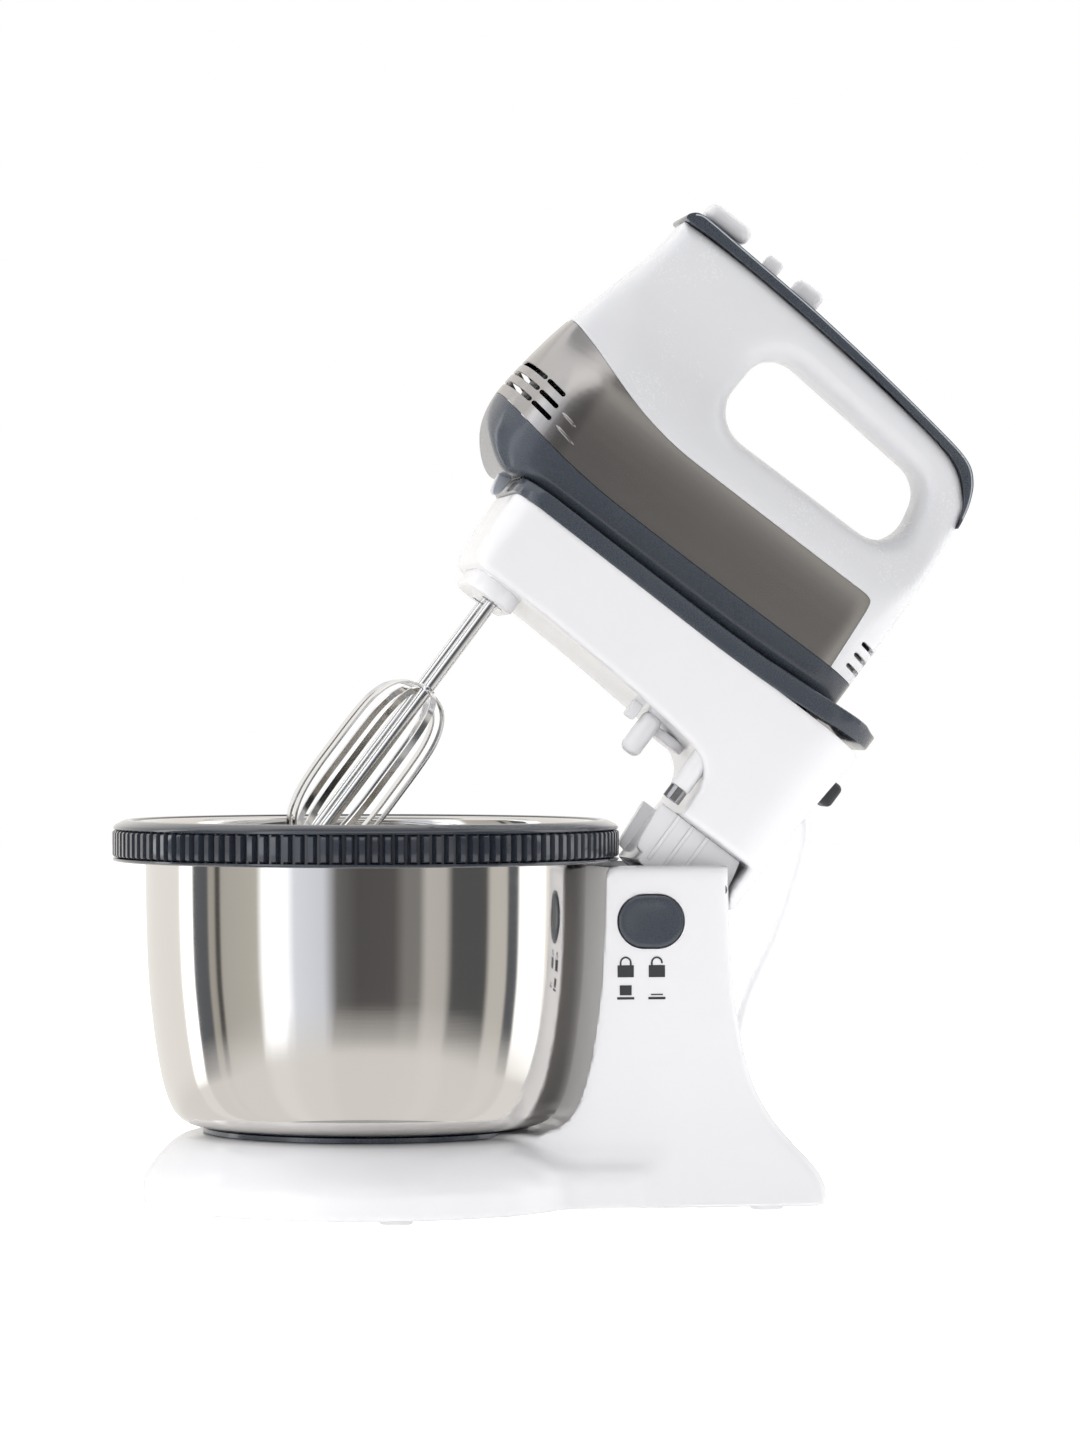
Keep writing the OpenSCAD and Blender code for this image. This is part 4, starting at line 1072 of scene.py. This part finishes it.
def stand_keep(x, y, z):
    """Open below, open on top for the tongue, with a slot at the back and the button's oval."""
    keep = z - 2.9
    oval = capsule(x, z, (BUTTON[0] - 3, BUTTON[1]), (BUTTON[0] + 3, BUTTON[1]), 12.45)
    keep = np.minimum(keep, np.where(y < -30, oval, 50))
    top = np.maximum(np.maximum(np.abs(y) - 38, x - 157.5), 153.4 - z)
    keep = np.minimum(keep, top)
    back = np.maximum(np.maximum(np.abs(y) - 35.9, 138.3 - z), 150 - x)
    return np.minimum(keep, back)


stand_piece = shell("stand", clip(stand_surface(1.5 if FINE else 2.6), stand_keep), WALL)
bosses = [cut(bevel(rod("boss", HINGE, 6.5, *y, "y", 40), 0.5, 2),
              [rod("bore", HINGE, 3.0, -60, 60, "y", 40), block("flat", (159.4, 170), (-60, 60), (130, 160))])
          for y in ((-42.4, -36.8), (36.8, 42.4))]
finish_piece(join("stand", [stand_piece] + bosses), "stand_skin", "base", "white_plastic",
             ["stand_shell"])


def release_shape():
    """The oval release button: a shallow dish with a rounded edge."""
    c, s = circle(64)
    u = 3 * np.sign(c) * np.minimum(1, np.abs(c) * 6)
    rings = []
    for r, y in ((11.9, -40.6), (11.9, -45.2), (11.6, -46.1), (10.9, -46.6), (9.4, -46.7), (7.4, -46.3),
                 (4, -45.9), (0.6, -45.8)):
        rings.append(np.stack([BUTTON[0] + u + r * c, np.full(64, y), BUTTON[1] + r * s], 1))
    cap = raw("cap", *grid_mesh(rings, caps=True))
    stem = rod("stem", (BUTTON[0], BUTTON[1] - 4), 4, -41, -32, "y", 32)
    return join("release", [cap, stem])


finish_piece(release_shape(), "release_skin", "release", "slate_plastic", ["release_button"])


def flat_print(outlines):
    """Thin printed shapes on the tower's near wall."""
    parts = []
    for outline in outlines:
        pts = np.array(outline)
        wall_y = -np.interp(pts[:, 1].mean(), [20, 40, 60, 90, 125], [51.5, 48.8, 46.8, 45.4, 45]) - 0.02
        parts.append(prism("print", pts, wall_y - 0.12, wall_y + 0.3, "y"))
    return join("print", parts)


def padlock(x, z, open_side):
    """Body and shackle of a generic padlock sign."""
    half, h = 3.7, 5.4
    arc = []
    r0, r1, lift = 1.9, 2.7, 1.2
    for r, turn in ((r1, 1), (r0, -1)):
        angles = np.linspace(0, math.pi, 13)[::turn]
        arc += [(x + r * math.cos(a), z + h + lift + r * math.sin(a)) for a in angles]
    return [oblong(x - half, x + half, z, z + h), arc, oblong(x - r1, x - r0, z + h - 0.2, z + h + lift),
            oblong(x + r0, x + r1, z + h + open_side, z + h + lift)]


def square_sign(x, z, tall):
    """A bar with a block on it, for the head down, or a thin line, for the head up."""
    return [oblong(x - 3.9, x + 3.9, z, z + 1.1), oblong(x - 2.7, x + 2.7, z + 1.9, z + tall)]


SIGNS = padlock(112.4, 105.6, -0.2) + padlock(126.6, 105.6, 0.8)
SIGNS += square_sign(112.4, 95.6, 6.4) + square_sign(126.6, 95.6, 2.5)
finish_piece(flat_print(SIGNS), "release_signs", "base", "dark_plastic")

FOOT = [(0.02, 0.02), (6.6, 0.02), (7.3, 0.5), (7.5, 1.2), (7.5, FOOT_H), (0.02, FOOT_H)]
feet = [lathe("foot", FOOT, 40, at) for at in ((0, 0), (4, -86), (4, 86), (-84, 0), (178, -38), (178, 38))]
finish_piece(join("feet", feet), "feet_skin", "base", "rubber_feet", ["base_feet"])

# ---------------------------------------------------------------- light and surroundings


def glow(name):
    """A surface that gives an even white light, with the node that gives it."""
    m = bpy.data.materials.new(name)
    m.use_nodes = True
    nodes, links = m.node_tree.nodes, m.node_tree.links
    nodes.clear()
    light = set_inputs(nodes.new("ShaderNodeEmission"), {"Color": (1, 1, 1, 1), "Strength": 1.0})
    out = nodes.new("ShaderNodeOutputMaterial")
    links.new(light.outputs["Emission"], out.inputs["Surface"])
    return m, light


def backdrop_piece(o, camera_ray=False, glossy=False, diffuse=False):
    """Marks an object as surroundings, seen only by the rays that are named."""
    o.visible_camera, o.visible_glossy, o.visible_diffuse = camera_ray, glossy, diffuse
    o.visible_shadow, o.visible_transmission = False, False


# the ring of light round the object that only reflections see: angle from the camera to its right
# hand, brightness and tint; brightness runs evenly from one place to the next
CREAM, PALE, WHITE, BLUE = (1, 0.975, 0.94), (1, 0.97, 0.92), (1, 1, 1), (0.95, 1, 1.1)
TAN, SAND, SKY, ROSE = (1, 0.95, 0.86), (1, 0.96, 0.88), (0.95, 0.99, 1.09), (1, 0.96, 0.96)
OAT, COOL = (1, 0.96, 0.9), (0.98, 1, 1.03)
RING = [(-180, 0.95, CREAM), (-111, 0.95, CREAM), (-109, 2.4, WHITE), (-100, 2.4, WHITE), (-98.6, 0.14, BLUE),
        (-88, 0.12, BLUE), (-86.5, 0.46, TAN), (-83, 0.42, TAN), (-81.6, 0.08, (1, 0.97, 0.93)),
        (-79.4, 0.08, (1, 0.97, 0.93)), (-78, 0.5, SAND), (-56, 0.56, SAND), (-51, 1.9, (0.98, 1, 1.04)),
        (-43, 1.9, (0.98, 1, 1.04)), (-35, 0.9, SKY), (-20, 0.8, SKY), (-13, 0.17, (1, 0.98, 0.97)),
        (-2, 0.1, ROSE), (16, 0.11, ROSE), (22, 0.24, (1, 0.98, 0.95)), (29, 0.24, (1, 0.98, 0.95)),
        (33, 0.58, PALE), (43, 0.55, PALE), (47, 0.1, COOL), (66, 0.1, COOL), (69, 0.62, OAT),
        (79, 0.62, OAT), (80.5, 0.12, BLUE), (86.5, 0.12, BLUE), (88, 1.6, WHITE), (107, 1.6, WHITE),
        (110, 0.95, OAT), (180, 0.95, CREAM)]
RING_FLOOR = -0.78


def light_band(name, knots, radius, rows):
    """A bent card; rows are heights, each with the share of the ring's light and a light added to it."""
    first, last = knots[0][0], knots[-1][0]
    angles = sorted({k[0] for k in knots} | set(np.linspace(first, last, int((last - first) / 5) + 2)))
    place = [k[0] for k in knots]
    verts, faces, colours = [], [], []
    for i, turn in enumerate(angles):
        a = math.radians(turn)
        way = -aim * math.cos(a) + side * math.sin(a)
        glow_at = [np.interp(turn, place, [k[1] * k[2][c] for k in knots]) for c in range(3)]
        for r, (z, share, plus) in enumerate(rows):
            verts.append((way.x * radius, way.y * radius, z))
            colours.append([g * share + p for g, p in zip(glow_at, plus)] + [1])
            if i and r:
                v, w = len(verts) - 1, len(verts) - 1 - len(rows)
                faces.append((w - 1, v - 1, v, w))
    mesh = bpy.data.meshes.new(name)
    mesh.from_pydata(verts, [], faces)
    layer = mesh.color_attributes.new("glow", "FLOAT_COLOR", "POINT")
    for k, colour in enumerate(colours):
        layer.data[k].color = colour
    mat, light = glow(name)
    read = mat.node_tree.nodes.new("ShaderNodeVertexColor")
    read.layer_name = "glow"
    mat.node_tree.links.new(read.outputs["Color"], light.inputs["Color"])
    mesh.materials.append(mat)
    backdrop_piece(add(name, mesh), glossy=True)


WARM = (0.8, 0.775, 0.75)
NONE = (0, 0, 0)
light_band("light_ring", RING, 3.2, [(-5, 0.05, WARM), (RING_FLOOR - 0.3, 0.05, WARM),
                                     (RING_FLOOR + 0.12, 1, NONE), (3.4, 1, NONE)])
light_band("crown", [(-180, 1, WHITE), (180, 1, WHITE)], 3.15,
           [(3.0, 0.6, NONE), (3.6, 1, NONE), (6.5, 1, NONE)])
light_band("key", [(-24, 1, (1, 0.99, 0.98)), (28, 1, (1, 0.99, 0.98))], 3.1,
           [(2.1, 0.3, NONE), (2.5, 1.25, NONE), (4.2, 1.25, NONE)])


def floor_material():
    """Pale paper that glows a little, so that it meets the backdrop without an edge."""
    m = material("floor", (0.9, 0.9, 0.9), 0.9, bump=0.01, tint=0.004)
    set_inputs(m.node_tree.nodes["Principled BSDF"],
               {"Emission Color": (1, 1, 1, 1), "Emission Strength": 0.78, "Specular IOR Level": 0.1})
    return m


FLOOR_R = 6.0
turns = np.arange(96) * 2 * math.pi / 96
floor = bpy.data.meshes.new("floor")
floor.from_pydata([(FLOOR_R * math.cos(a), FLOOR_R * math.sin(a), 0.0) for a in turns], [], [list(range(96))])
floor.materials.append(floor_material())
backdrop_piece(add("floor", floor), camera_ray=True, diffuse=True)
sky = bpy.data.meshes.new("backdrop")
sphere = bmesh.new()
bmesh.ops.create_uvsphere(sphere, u_segments=48, v_segments=24, radius=9)
sphere.to_mesh(sky)
sphere.free()
sky.materials.append(glow("backdrop")[0])
backdrop_piece(add("backdrop", sky), camera_ray=True)

world = bpy.data.worlds.new("studio")
bpy.context.scene.world = world
world.use_nodes = True
set_inputs(world.node_tree.nodes["Background"], {"Color": (0.97, 0.98, 1, 1), "Strength": 0.45})


def soft_light(name, kind, spot, target, power, **settings):
    """A light that shines on a target and shows in no reflection."""
    data = bpy.data.lights.new(name, kind)
    data.energy = power
    for key, value in settings.items():
        setattr(data, key, value)
    o = add(name, data)
    o.location = spot
    o.rotation_euler = (Vector(target) - Vector(spot)).to_track_quat("-Z", "Y").to_euler()
    o.visible_glossy = False


def area_light(name, spot, target, size, power):
    """A rectangular soft light."""
    soft_light(name, "AREA", spot, target, power, shape="RECTANGLE", size=size[0], size_y=size[1])


area_light("front_soft", (-0.6, -2.5, 1.1), (0.05, 0, 0.2), (1.6, 1.2), 14)
area_light("left_soft", (-2.2, 0.2, 0.9), (0, 0, 0.2), (1.4, 1.4), 34)
area_light("right_soft", (2.4, 0.5, 0.9), (0.1, 0, 0.2), (1.4, 1.4), 28)
area_light("top_soft", (0.1, 0.3, 2.2), (0.1, 0, 0.2), (1.4, 1.4), 26)
soft_light("platform_soft", "SPOT", (-0.4, -2.5, 0.16), (0.0, -0.05, 0.0), 150,
           spot_size=math.radians(10), spot_blend=0.7, shadow_soft_size=0.3)
bpy.context.scene.view_settings.view_transform = "Standard"
